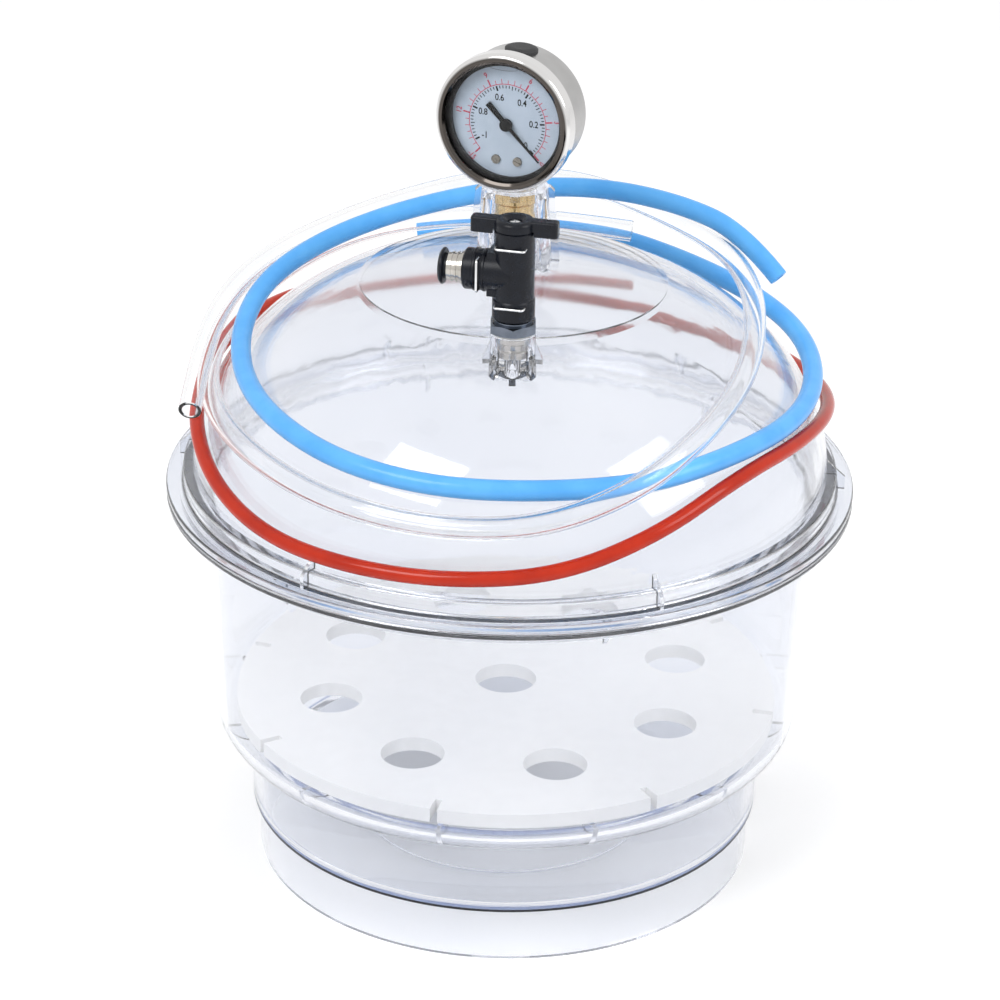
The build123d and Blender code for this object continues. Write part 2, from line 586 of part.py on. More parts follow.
def toothed(radius_root, radius_tip, teeth, span, start):
    """Tooth outlines, as wedges that stand on a wheel's rim."""
    pitch = 360.0 / teeth
    wedges = []
    for n in range(round(span / pitch)):
        angle = start + n * pitch
        base_half = math.radians(pitch) * 0.24 * radius_root
        tip_half = base_half * 0.55
        outline = [(radius_root - 0.2, -base_half), (radius_tip, -tip_half),
                   (radius_tip, tip_half), (radius_root - 0.2, base_half)]
        wedges.append(Rot(0, 0, angle) * make_face(Polyline(*outline, close=True)))
    return wedges


def make_arbor():
    """The pointer's spindle with its pinion."""
    low = MOVEMENT_BACK - MOVEMENT_T - 0.4
    high = DIAL_FACE + 1.2 + POINTER_T
    root = PINION_PITCH_R - 0.3
    wheel = extrude(Circle(root).face().fuse(*toothed(root, PINION_PITCH_R + 0.2, PINION_TEETH, 360, -90 + 180 / PINION_TEETH)),
                    2 * SECTOR_T)
    spindle = rod(ARBOR_R, low, high)
    return works(spindle.fuse(Pos(0, 0, -SECTOR_T / 2) * wheel))


def make_sector():
    """The toothed sector that drives the pinion, on its own spindle, with a tail for the link."""
    root = SECTOR_PITCH_R - 0.35
    start = 90 - SECTOR_LEAD
    end = 90 + SECTOR_SWING + SECTOR_LEAD
    pitch = 360 / SECTOR_TEETH
    before = math.floor(SECTOR_LEAD / pitch)
    teeth = toothed(root, SECTOR_PITCH_R + 0.15, SECTOR_TEETH, end - start, 90 - before * pitch)
    rim = make_face([Line((0, 0), polar(root, start)), arc_edge(root, start, end), Line(polar(root, end), (0, 0))])
    tail = make_face(Polyline((0, -1.2), (SECTOR_TAIL_L, -0.9), (SECTOR_TAIL_L, 0.9), (0, 1.2), close=True))
    flat = Circle(2.0).face().fuse(rim, Rot(0, 0, tail_angle()) * tail, *teeth)
    spindle = rod(ARBOR_R, MOVEMENT_BACK - MOVEMENT_T + 0.2, MOVEMENT_FRONT - 0.2)
    return works(Pos(0, SECTOR_Y, 0) * spindle.fuse(extrude(flat, SECTOR_T)))


def tail_angle():
    """Direction of the sector's tail, opposite the middle of its teeth."""
    return 270 + SECTOR_SWING / 2


def polar(radius, degrees):
    return radius * math.cos(math.radians(degrees)), radius * math.sin(math.radians(degrees))


def arc_edge(radius, start, end):
    return ThreePointArc(polar(radius, start), polar(radius, (start + end) / 2), polar(radius, end))


def make_movement():
    """Two plates on pillars, with bearing holes for both spindles and posts for the dial."""
    high = 3.0
    height = high - BLOCK_TOP
    middle = (high + BLOCK_TOP) / 2
    back = Pos(0, middle, MOVEMENT_BACK - MOVEMENT_T / 2) * Box(MOVEMENT_W, height, MOVEMENT_T)
    front = Pos(0, middle, MOVEMENT_FRONT - MOVEMENT_T / 2) * Box(MOVEMENT_W, height, MOVEMENT_T)
    pillars = [Pos(side * (MOVEMENT_W / 2 - 1.3), 0, 0) * rod(1.2, MOVEMENT_BACK - 0.5, MOVEMENT_FRONT - 0.5)
               for side in (-1, 1)]
    posts = [Pos(side * DIAL_SCREW_X, DIAL_SCREW_Y, 0) * rod(1.7, MOVEMENT_FRONT - 0.5, DIAL_FACE - DIAL_T)
             for side in (-1, 1)]
    bores = [Pos(0, y, 0) * rod(ARBOR_R + RUN_GAP, MOVEMENT_BACK - 3, MOVEMENT_FRONT + 1) for y in (0, SECTOR_Y)]
    bores += [Pos(side * DIAL_SCREW_X, DIAL_SCREW_Y, 0)
              * rod(DIAL_SCREW_R + SET_GAP, MOVEMENT_FRONT - 2, DIAL_FACE) for side in (-1, 1)]
    return works(back.fuse(front, *pillars, *posts).cut(*bores))


def make_link():
    """Flat link between the end of the pressure tube and the sector's tail."""
    z = SECTOR_T + SEAT_GAP
    tail_x, tail_y = polar(SECTOR_TAIL_L - 0.8, tail_angle())
    tip_x, tip_y = polar(TUBE_R - TUBE_T / 2 - 1.2, tube_end_angle() + 2)
    start = Vector(tail_x, tail_y + SECTOR_Y)
    along = Vector(tip_x, tip_y) - start
    bar = Pos(along.length / 2, 0, 0) * Box(along.length, 1.2, 0.6, align=(Align.CENTER, Align.CENTER, Align.MIN))
    ends = [Pos(x, 0, 0) * Cylinder(1.0, 0.6, align=(Align.CENTER, Align.CENTER, Align.MIN))
            for x in (0, along.length)]
    turn = math.degrees(math.atan2(along.Y, along.X))
    return works(Pos(start.X, start.Y, z) * Rot(0, 0, turn) * bar.fuse(*ends))


def tube_end_angle():
    return -90 - TUBE_SPAN


def make_pressure_tube():
    """Flattened tube bent nearly to a ring, open into the socket, closed by a tip with a lug."""
    def ring(width, thickness):
        return Plane.XZ * Pos(TUBE_R, 0) * RectangleRounded(thickness, width, thickness * 0.48)
    outer = revolve(ring(TUBE_W, TUBE_T), Axis.Z, TUBE_SPAN)
    inner = revolve(ring(TUBE_W - 2 * TUBE_WALL, TUBE_T - 2 * TUBE_WALL), Axis.Z, TUBE_SPAN - 6)
    tip = Rot(0, 0, tube_turn()) * Rot(0, 0, TUBE_SPAN + 3) * Pos(TUBE_R, 0, 0) * Box(TUBE_T + 0.8, 3.2, TUBE_W)
    return works((Rot(0, 0, tube_turn()) * (outer - inner)).fuse(tip))


def tube_turn():
    """Turn that brings the tube's open end to the socket's block."""
    return -90 + math.degrees(math.asin(BLOCK_W / 2 / TUBE_R)) - 2


def make_socket():
    """Brass socket: threaded stem, square, neck through the case and block for the tube."""
    square_low = GAUGE_BOSS_TOP + STEM_WASHER_T - GAUGE_Z
    square_high = -CASE_R - 0.5
    block_low = -(CASE_R - CASE_T - 0.6)
    thread = rod(STEM_THREAD_R, -square_low - 0.1, -square_low + STEM_THREAD_L)
    neck = rod(STEM_NECK_R, -block_low - 2, -square_low)
    upright = Rot(90, 0, 0)
    square = Pos(0, (square_low + square_high) / 2, 0) * Box(STEM_SQUARE, square_high - square_low, STEM_SQUARE)
    block_top = BLOCK_TOP - DIAL_DROP
    block = Pos(0, (block_low + block_top) / 2, 0) * Box(BLOCK_W, block_top - block_low, BLOCK_D)
    block = block & rod(CASE_R - CASE_T - 0.3, -BLOCK_D, BLOCK_D)
    bore = upright * rod(STEM_BORE_R, TUBE_R + DIAL_DROP, -square_low + STEM_THREAD_L + 1)
    pocket = Pos(0, -DIAL_DROP, 0) * tube_pocket()
    return gauge(block.fuse(square, upright * thread, upright * neck).cut(bore, pocket))


def tube_pocket():
    """Pocket in the block that holds the open end of the pressure tube."""
    grow = 2 * SET_GAP
    section = Plane.XZ * Pos(TUBE_R, 0) * RectangleRounded(TUBE_T + grow, TUBE_W + grow, TUBE_T * 0.48)
    return Rot(0, 0, tube_turn() - 16) * revolve(section, Axis.Z, 40)


def make_stem_washer():
    return tube(STEM_WASHER_R, STEM_THREAD_R + 0.1, GAUGE_BOSS_TOP, GAUGE_BOSS_TOP + STEM_WASHER_T)


def make_filler_plug():
    """Rubber plug in the top of the case."""
    inner = CASE_R - CASE_T
    crown = CASE_R + 1.3
    cap = spin((0, inner), (PLUG_R, inner), (PLUG_R, crown - 0.9),
               ThreePointArc((PLUG_R, crown - 0.9), (PLUG_R - 1.0, crown - 0.3), (PLUG_R - 3.0, crown)),
               (0, crown))
    shell = Rot(90, 0, 0) * rod(CASE_R + SET_GAP, -3 * PLUG_R, 3 * PLUG_R)
    stem = rod(PLUG_R - 0.8 - SET_GAP, inner - 0.6, CASE_R + 0.3)
    return gauge(plug_place() * ((cap - shell) + stem))


# ------------------------------------------------------------------ valve
def make_stud_washer():
    return Pos(0, VALVE_Y, 0) * tube(STUD_WASHER_R, STUD_THREAD_R + 0.1, VALVE_BOSS_TOP, STUD_Z)


def make_stud():
    """Plated stud: thread, hexagon and grooved neck that the housing turns on."""
    low = VALVE_BOSS_TOP - VALVE_INSERT_L + 1
    hexagon = Pos(0, 0, STUD_Z) * extrude(RegularPolygon(STUD_HEX / 2, 6, major_radius=False, rotation=90), STUD_HEX_T)
    crown = spin((0, STUD_Z), (STUD_HEX / 2, STUD_Z), (STUD_HEX / 2 + 1.4, STUD_Z + 0.6),
                 (STUD_HEX / 2 + 1.4, STUD_Z + STUD_HEX_T - 0.6), (STUD_HEX / 2, STUD_Z + STUD_HEX_T),
                 (0, STUD_Z + STUD_HEX_T))
    neck_low = STUD_Z + STUD_HEX_T
    half = CLIP_WIRE_R + 0.1
    collar_z = neck_low + STUD_COLLAR_H
    neck = spin((0, neck_low), (STUD_COLLAR_R, neck_low), (STUD_COLLAR_R, collar_z - 0.3),
                (STUD_COLLAR_R - 0.3, collar_z), (STUD_NECK_R, collar_z), (STUD_NECK_R, CLIP_LOW_Z - half),
                (CLIP_GROOVE_R, CLIP_LOW_Z - half), (CLIP_GROOVE_R, CLIP_LOW_Z + half),
                (STUD_NECK_R, CLIP_LOW_Z + half), (STUD_NECK_R, neck_low + STUD_NECK_L),
                (0, neck_low + STUD_NECK_L))
    stud = (hexagon & crown).fuse(rod(STUD_THREAD_R, low, STUD_Z), neck)
    return Pos(0, VALVE_Y, 0) * (stud - rod(STUD_BORE_R, low - 1, neck_low + STUD_NECK_L + 1))


def clip_path(half_width, reach):
    """The U of a wire clip: its bar lies across the front, its legs run back."""
    back = reach - CLIP_DEPTH
    return FilletPolyline((-half_width, back, 0), (-half_width, reach, 0), (half_width, reach, 0),
                          (half_width, back, 0), radius=1.0)


def wire_clip(half_width, reach):
    path = clip_path(half_width, reach)
    return sweep(Plane(path ^ 0) * Circle(CLIP_WIRE_R), path)


def clip_places():
    """Each wire clip of the housing: its place, half its width and how far its bar stands out."""
    upright = VALVE_AXIS * Pos(CLIP_PORT_X, 0, PORT_Z) * Rot(0, 90, 0)
    return [(VALVE_AXIS * Pos(0, 0, CLIP_LOW_Z), CLIP_HALF_W, HOUSING_COLLAR_R + CLIP_WIRE_R + 0.1),
            (VALVE_AXIS * Pos(0, 0, CLIP_HIGH_Z), CLIP_HALF_W, HOUSING_R + CLIP_WIRE_R + 0.1),
            (upright, CLIP_PORT_HALF_W, PORT_R + CLIP_WIRE_R + 0.1)]


def make_clips():
    return Compound(children=[place * wire_clip(half, reach) for place, half, reach in clip_places()])


def clip_holes():
    holes = []
    for place, half, reach in clip_places():
        for side in (-1, 1):
            leg = Rot(-90, 0, 0) * rod(CLIP_WIRE_R + RUN_GAP, reach - CLIP_DEPTH - 0.5, reach + 1)
            holes.append(place * Pos(side * half, 0, 0) * leg)
    return holes


def make_housing():
    """Black moulded body: turns on the stud, carries the spindle above and the hose port."""
    top = HOUSING_TOP
    collar_z = HOUSING_Z + HOUSING_COLLAR_H
    stud_top = STUD_Z + STUD_HEX_T + STUD_NECK_L + SEAT_GAP
    body = spin((0, HOUSING_Z), (HOUSING_COLLAR_R - 0.5, HOUSING_Z), (HOUSING_COLLAR_R, HOUSING_Z + 0.5),
                (HOUSING_COLLAR_R, collar_z - 0.5), (HOUSING_R, collar_z), (HOUSING_R, top - 0.6),
                (HOUSING_R - 0.6, top), (0, top))
    port = spin((0, 0), (PORT_R, 0), *port_ridge(CLIP_PORT_X - 1.8), *port_ridge(CLIP_PORT_X + 1.8),
                (PORT_R, PORT_REACH - 0.6), (PORT_R - 0.6, PORT_REACH), (0, PORT_REACH))
    rib = Pos(PORT_SHOULDER / 2, 0, PORT_Z) * Box(PORT_SHOULDER, HOUSING_R * 1.3, 2 * PORT_R + 1.6)
    solid = (VALVE_AXIS * body).fuse(PORT_AXIS * port, VALVE_AXIS * rib)
    stud_bore = rod(STUD_NECK_R + RUN_GAP, HOUSING_Z - 1, stud_top)
    spindle_bore = rod(SPINDLE_R + RUN_GAP, stud_top + 1.5, top + 1)
    passage = rod(STUD_BORE_R, stud_top - 1, stud_top + 3)
    way_out = PORT_AXIS * rod(STUD_BORE_R, 2, PORT_FLOOR + 1)
    socket = PORT_AXIS * rod(SLEEVE_R + RUN_GAP, PORT_FLOOR, PORT_REACH + 1)
    return solid.cut(VALVE_AXIS * stud_bore, VALVE_AXIS * spindle_bore, VALVE_AXIS * passage, way_out, socket,
                     *clip_holes())


def port_ridge(middle):
    """Outline points of a ridge round the port."""
    return ((PORT_R, middle - 0.7), (PORT_R + PORT_RIDGE, middle - 0.4),
            (PORT_R + PORT_RIDGE, middle + 0.4), (PORT_R, middle + 0.7))


def ring_heights():
    """Heights of the spindle's two seal rings, either side of the port."""
    return PORT_Z - 4.0, CLIP_HIGH_Z - 2.6


def make_spindle():
    """Plug of the valve: bored up its middle and out to one side, with a square for the handle."""
    low = STUD_Z + STUD_HEX_T + STUD_NECK_L + SEAT_GAP + 1.5 + SEAT_GAP
    high = HOUSING_TOP - 0.2
    half = CLIP_WIRE_R + 0.1
    body = rod(SPINDLE_R, low, high)
    square = Pos(0, 0, high + SPINDLE_SQUARE_H / 2) * Box(SPINDLE_SQUARE, SPINDLE_SQUARE, SPINDLE_SQUARE_H)
    cuts = [tube(SPINDLE_R + 1, CLIP_GROOVE_R, CLIP_HIGH_Z - half, CLIP_HIGH_Z + half),
            rod(STUD_BORE_R, low - 1, PORT_Z),
            Pos(0, 0, PORT_Z) * Rot(0, 90, 0) * rod(STUD_BORE_R, 0, SPINDLE_R + 1),
            rod(1.5, high - 5, high + SPINDLE_SQUARE_H + 1)]
    cuts += [tube(SPINDLE_R + 1, SPINDLE_R - 1.0, z - 0.7, z + 0.7) for z in ring_heights()]
    return VALVE_AXIS * body.fuse(square).cut(*cuts)


def make_spindle_rings():
    rings = [Pos(0, 0, z) * Torus(SPINDLE_R - O_RING_R - 0.02, O_RING_R - 0.02) for z in ring_heights()]
    return VALVE_AXIS * Compound(children=rings)


def handle_top():
    return HOUSING_TOP + SEAT_GAP + HANDLE_CROWN


def make_handle():
    """T-shaped handle: a round hub on the spindle's square, with a wing to each side."""
    low = HOUSING_TOP + SEAT_GAP
    top = handle_top()
    bar_low = top - HANDLE_H
    seat = top - HANDLE_SEAT
    bar = Pos(0, 0, bar_low) * extrude(RectangleRounded(HANDLE_L, HANDLE_T, 1.6), HANDLE_H)
    bar = fillet(bar.edges().group_by(Axis.Z)[-1], 0.9)
    bend = HANDLE_EDGE * (1 - math.sqrt(0.5))
    hub = spin((0, low), (HANDLE_HUB_R, low), (HANDLE_HUB_R, top - HANDLE_EDGE),
               ThreePointArc((HANDLE_HUB_R, top - HANDLE_EDGE), (HANDLE_HUB_R - bend, top - bend),
                             (HANDLE_HUB_R - HANDLE_EDGE, top)), (0, top))
    room = rod(HANDLE_HUB_R + 0.5, bar_low - 1, low)
    square_top = HOUSING_TOP - 0.2 + SPINDLE_SQUARE_H + SEAT_GAP
    socket = Pos(0, 0, (low - 1 + square_top) / 2) * Box(SPINDLE_SQUARE + 0.1, SPINDLE_SQUARE + 0.1,
                                                        square_top - low + 1)
    recess = spin((0, seat), (HANDLE_SCREW_R + 0.4, seat), (HANDLE_SCREW_R + 0.4, seat + 0.9),
                  (HANDLE_SCREW_R + 2.2, top + 0.1), (0, top + 0.1))
    hole = rod(1.6, low, top)
    return VALVE_AXIS * bar.fuse(hub).cut(room, socket, recess, hole)


def make_handle_screw():
    """Pan-headed cross-recess screw that holds the handle to the spindle."""
    seat = handle_top() - HANDLE_SEAT
    head = spin((0, seat), (HANDLE_SCREW_R, seat), (HANDLE_SCREW_R, seat + 0.5),
                ThreePointArc((HANDLE_SCREW_R, seat + 0.5), (1.5, seat + 1.05), (0, seat + 1.3)))
    shank = rod(1.42, HOUSING_TOP - 4.5, seat + 0.1)
    cross = [Pos(0, 0, seat + 1.3) * Rot(0, 0, turn) * Box(2.6, 0.5, 1.0) for turn in (20, 110)]
    return VALVE_AXIS * head.fuse(shank).cut(*cross)


def make_port_seal():
    """Lipped rubber ring at the bottom of the port."""
    high = PORT_FLOOR + PORT_SEAL_H
    return PORT_AXIS * spin((HOSE_BORE_R + 0.05, PORT_FLOOR), (SLEEVE_R, PORT_FLOOR), (SLEEVE_R, high),
                            (HOSE_BORE_R + 1.0, high), (HOSE_BORE_R + 0.05, high - 0.9))


def make_grip_ring():
    """Spring-steel ring whose inner teeth hold the hose."""
    disc = Circle(SLEEVE_R).face()
    teeth = [turn * Pos(HOSE_BORE_R + 0.9, 0) * Rectangle(1.8, 0.7).face() for turn in around(12)]
    blank = extrude(disc.cut(Circle(HOSE_BORE_R + 0.1).face(), *teeth), GRIP_T)
    return PORT_AXIS * Pos(0, 0, GRIP_BACK) * blank


def sleeve_steps():
    """Outline points of the turned steps outside the port, out to the sleeve's end."""
    points = []
    radius = SLEEVE_R
    for along, next_radius in SLEEVE_STEPS:
        points += [(radius, along), (next_radius, along)]
        radius = next_radius
    return points + [(radius, SLEEVE_END)]


def make_sleeve():
    """Plated sleeve that closes the port and guides the release ring."""
    half = CLIP_WIRE_R + 0.1
    return PORT_AXIS * spin((SLEEVE_BORE_R, SLEEVE_START), (SLEEVE_R, SLEEVE_START),
                            (SLEEVE_R, CLIP_PORT_X - half), (CLIP_PORT_GROOVE_R, CLIP_PORT_X - half),
                            (CLIP_PORT_GROOVE_R, CLIP_PORT_X + half), (SLEEVE_R, CLIP_PORT_X + half),
                            *sleeve_steps(), (SLEEVE_BORE_R, SLEEVE_END))


def make_release_ring():
    """Black collar that frees the hose when it is pushed in."""
    flange = RELEASE_END - RELEASE_T
    nose_r = SLEEVE_BORE_R - RUN_GAP
    return PORT_AXIS * spin((HOSE_BORE_R, NOSE_START), (nose_r, NOSE_START), (nose_r, flange),
                            (RELEASE_R - 0.4, flange), (RELEASE_R, flange + 0.4),
                            (RELEASE_R, RELEASE_END - 0.8), (RELEASE_R - 0.8, RELEASE_END),
                            (HOSE_BORE_R + 0.5, RELEASE_END), (HOSE_BORE_R, RELEASE_END - 0.5))


# ------------------------------------------------------------------ hoses
def hose(route, diameter, name):
    """A plain tube along straight runs joined by tangent arcs."""
    points = [Vector(*point) for point in route]
    runs = [b - a for a, b in zip(points, points[1:])]
    radii = []
    for before, after in zip(runs, runs[1:]):
        half_turn = math.radians(before.get_angle(after)) / 2
        radii.append(BEND_SHARE * min(before.length, after.length) / math.tan(half_turn))
    path = FilletPolyline(*points, radius=radii)
    solid = sweep(Plane(path ^ 0) * Circle(diameter / 2), path)
    expected = math.pi * diameter ** 2 / 4 * path.length
    print(f"{name}: length {path.length:.0f}, radii {min(radii):.0f} to {max(radii):.0f}, "
          f"volume {solid.volume:.0f} of {expected:.0f}, runs {min(r.length for r in runs):.0f} "
          f"to {max(r.length for r in runs):.0f}")
    return solid


# ------------------------------------------------------------------ the whole
NODES = {
    "base_bowl": make_bowl,
    "perforated_plate": make_plate,
    "seal_ring": make_seal,
    "lid_dome": make_lid,
    "gauge_insert": make_gauge_insert,
    "valve_insert": make_valve_insert,
    "stem_washer": make_stem_washer,
    "gauge_socket": make_socket,
    "pressure_tube": make_pressure_tube,
    "gauge_movement": make_movement,
    "tip_link": make_link,
    "sector_gear": make_sector,
    "pointer_arbor": make_arbor,
    "gauge_pointer": make_pointer,
    "gauge_dial": make_dial,
    "dial_screws": make_dial_screws,
    "gauge_case": make_case,
    "gauge_bezel": make_bezel,
    "gauge_gasket": make_gasket,
    "gauge_lens": make_lens,
    "filler_plug": make_filler_plug,
    "stud_washer": make_stud_washer,
    "valve_stud": make_stud,
    "valve_housing": make_housing,
    "housing_clips": make_clips,
    "valve_spindle": make_spindle,
    "spindle_rings": make_spindle_rings,
    "valve_handle": make_handle,
    "handle_screw": make_handle_screw,
    "port_seal": make_port_seal,
    "grip_ring": make_grip_ring,
    "port_sleeve": make_sleeve,
    "release_ring": make_release_ring,
    "blue_hose": lambda: hose(BLUE_ROUTE, BLUE_OD, "blue_hose"),
    "clear_hose": lambda: hose(CLEAR_ROUTE, CLEAR_OD, "clear_hose"),
    "red_hose": lambda: hose(RED_ROUTE, RED_OD, "red_hose"),
}

os.makedirs("parts", exist_ok=True)
for node, make in NODES.items():
    export_step(make(), f"parts/{node}.step")
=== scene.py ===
import json
import math

import bmesh
import bpy
from mathutils import Matrix, Vector


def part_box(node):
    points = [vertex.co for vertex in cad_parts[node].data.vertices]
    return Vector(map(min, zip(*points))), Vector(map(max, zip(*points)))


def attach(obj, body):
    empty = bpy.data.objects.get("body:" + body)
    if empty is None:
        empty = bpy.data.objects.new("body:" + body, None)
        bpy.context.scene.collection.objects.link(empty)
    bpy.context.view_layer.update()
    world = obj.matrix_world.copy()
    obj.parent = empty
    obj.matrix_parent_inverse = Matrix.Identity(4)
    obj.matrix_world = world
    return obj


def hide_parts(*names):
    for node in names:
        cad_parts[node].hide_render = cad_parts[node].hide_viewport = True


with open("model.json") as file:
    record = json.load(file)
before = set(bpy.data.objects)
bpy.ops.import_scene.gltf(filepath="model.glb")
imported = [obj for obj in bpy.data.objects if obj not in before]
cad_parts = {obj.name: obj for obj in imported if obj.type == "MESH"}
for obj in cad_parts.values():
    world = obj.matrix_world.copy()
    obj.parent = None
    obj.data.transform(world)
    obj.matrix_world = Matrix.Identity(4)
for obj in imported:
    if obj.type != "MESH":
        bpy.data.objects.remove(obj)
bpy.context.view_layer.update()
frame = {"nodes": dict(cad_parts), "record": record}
NODES = frame["nodes"]
scene = bpy.context.scene

# ------------------------------------------------------------------ camera
PITCH = math.radians(25.15)
ROLL = math.radians(1.0)
TARGET = Vector((-0.0038, 0.0, 0.1547))
DISTANCE = 1.34
LENS = 117.4            # millimetres, as the sensor
SENSOR_WIDTH = 36.0
CLIP_START = 0.05
CLIP_END = 30.0


def make_camera():
    """The photograph's view, from the front and above, rolled by a degree."""
    data = bpy.data.cameras.new("camera")
    data.lens = LENS
    data.sensor_width = SENSOR_WIDTH
    data.clip_start = CLIP_START
    data.clip_end = CLIP_END
    camera = bpy.data.objects.new("camera", data)
    scene.collection.objects.link(camera)
    forward = Vector((0, math.cos(PITCH), -math.sin(PITCH)))
    above = Vector((0, math.sin(PITCH), math.cos(PITCH)))
    right = Vector((1, 0, 0)) * math.cos(ROLL) + above * math.sin(ROLL)
    up = above * math.cos(ROLL) - Vector((1, 0, 0)) * math.sin(ROLL)
    turn = Matrix((right, up, -forward)).transposed()
    camera.matrix_world = Matrix.Translation(TARGET - forward * DISTANCE) @ turn.to_4x4()
    scene.camera = camera


make_camera()

# ------------------------------------------------------------------ hoses: lines
MM = 0.001
BLUE_ROUTE = [
    (109, 37, 240), (94, 47, 256), (68, 56, 265), (33, 64, 269), (-6, 67, 266), (-45, 63, 258),
    (-78, 50, 249), (-101, 26, 240), (-109, -6, 231), (-105, -42, 225), (-90, -75, 221),
    (-63, -103, 217), (-27, -119, 215), (13, -121, 215), (53, -110, 214), (87, -85, 216),
    (111, -51, 215), (122, -13, 216), (119, 23, 221), (102, 53, 226), (74, 76, 232),
    (40, 92, 238), (1, 98, 239), (-41, 96, 234)]
CLEAR_ROUTE = [
    (-125, -52, 215), (-123, -25, 226), (-118, 5, 236), (-106, 34, 243), (-83, 58, 249),
    (-48, 74, 258), (-9, 81, 266), (28, 80, 266), (62, 69, 256), (87, 49, 249), (97, 18, 243),
    (96, -22, 238), (88, -63, 234), (71, -99, 228), (46, -124, 217), (10, -132, 205),
    (-31, -126, 202), (-67, -110, 204), (-96, -83, 208), (-115, -48, 211), (-123, -10, 215),
    (-117, 26, 222), (-97, 56, 233), (-68, 75, 243), (-33, 84, 247), (7, 86, 247), (50, 81, 243)]
RED_ROUTE = [
    (55, 112, 210), (15, 125, 207), (-24, 124, 207), (-60, 109, 209), (-91, 82, 213),
    (-113, 48, 213), (-125, 9, 208), (-126, -30, 200), (-115, -66, 190), (-93, -96, 183),
    (-61, -119, 182), (-23, -132, 183), (18, -132, 186), (55, -119, 197), (87, -91, 209),
    (114, -54, 208), (129, -11, 203), (127, 33, 197), (109, 72, 195), (81, 104, 194),
    (45, 123, 195), (3, 130, 197)]
LINE_ORDER = 3          # of the NURBS curve through a route
LINE_STEPS = 10         # points of the smooth line for each point of a route


def spline_points(route, name):
    """The route's own smooth line, as points read from a NURBS curve with no bevel."""
    data = bpy.data.curves.new(name, "CURVE")
    data.dimensions = "3D"
    data.resolution_u = LINE_STEPS
    spline = data.splines.new("NURBS")
    spline.points.add(len(route) - 1)
    for point, place in zip(spline.points, route):
        point.co = (place[0] * MM, place[1] * MM, place[2] * MM, 1.0)
    spline.order_u = LINE_ORDER
    spline.use_endpoint_u = True
    holder = bpy.data.objects.new(name, data)
    scene.collection.objects.link(holder)
    bpy.context.view_layer.update()
    mesh = bpy.data.meshes.new_from_object(holder)
    line = [v.co.copy() for v in mesh.vertices]
    bpy.data.meshes.remove(mesh)
    bpy.data.objects.remove(holder)
    bpy.data.curves.remove(data)
    return line


def carried_frames(line):
    """Two directions across the line at each of its points, turned as little as can be."""
    frames = []
    side = None
    for n in range(len(line)):
        ahead = line[min(n + 1, len(line) - 1)]
        behind = line[max(n - 1, 0)]
        along = (ahead - behind).normalized()
        if side is None:
            side = along.cross(Vector((0, 0, 1))).normalized()
        else:
            side = (side - along * side.dot(along)).normalized()
        frames.append((side, along.cross(side).normalized(), along))
    return frames


# ------------------------------------------------------------------ hoses: tubes
BLUE_R = 0.0040
BLUE_BORE = 0.0026
CLEAR_R = 0.0045
CLEAR_BORE = 0.0031
RED_R = 0.0030
RED_BORE = 0.0020
BORE_STEPS = 20         # how many points of the line an opaque hose's bore goes in
TUBE_SIDES = 40
CUT_EDGE = 0.00035      # the bevel of a cut end, or a third of the wall where that is less
SHARP = math.radians(30)


class Tube:
    """A tube's skin, made of rings of corners round a line."""

    def __init__(self, line):
        self.line = line
        self.last = len(line) - 1
        self.frames = carried_frames(line)
        self.bm = bmesh.new()

    def ring(self, n, radius, slide=0.0):
        """Corners round point n, moved along the line by the slide."""
        side, other, along = self.frames[n]
        corners = []
        for k in range(TUBE_SIDES):
            angle = 2 * math.pi * k / TUBE_SIDES
            out = side * math.cos(angle) + other * math.sin(angle)
            corners.append(self.bm.verts.new(self.line[n] + along * slide + out * radius))
        return corners

    def skin(self, rings):
        """Faces from each ring to the next."""
        for a, b in zip(rings, rings[1:]):
            for k in range(TUBE_SIDES):
                after = (k + 1) % TUBE_SIDES
                self.bm.faces.new((a[k], a[after], b[after], b[k]))

    def cut_through(self, radius, bore, edge):
        """Open from end to end."""
        rings = self.outside(radius, bore, edge)
        rings += [self.ring(n, bore) for n in range(self.last - 1, 0, -1)]
        rings.append(self.ring(0, bore, edge))
        self.skin(rings + rings[:1])

    def cut_in(self, radius, bore, edge, steps):
        """Open at both ends for that many points of the line, and closed behind them."""
        rings = self.outside(radius, bore, edge)
        rings += [self.ring(self.last - n, bore) for n in range(1, steps)]
        near_bore = [self.ring(n, bore) for n in range(steps - 1, 0, -1)]
        near_bore.append(self.ring(0, bore, edge))
        self.skin(rings)
        self.bm.faces.new(list(reversed(rings[-1])))
        self.bm.faces.new(near_bore[0])
        self.skin(near_bore + rings[:1])

    def outside(self, radius, bore, edge):
        """The rings of the near cut, the outside, the far cut and the far bore's rim."""
        near_cut = [self.ring(0, bore + edge), self.ring(0, radius - edge), self.ring(0, radius, edge)]
        length = [self.ring(n, radius) for n in range(1, self.last)]
        far_cut = [self.ring(self.last, radius, -edge), self.ring(self.last, radius - edge)]
        far_cut += [self.ring(self.last, bore + edge), self.ring(self.last, bore, -edge)]
        return near_cut + length + far_cut

    def finish(self, name):
        bmesh.ops.recalc_face_normals(self.bm, faces=self.bm.faces)
        mesh = bpy.data.meshes.new(name)
        self.bm.to_mesh(mesh)
        self.bm.free()
        mesh.polygons.foreach_set("use_smooth", [True] * len(mesh.polygons))
        mesh.set_sharp_from_angle(angle=SHARP)
        return mesh


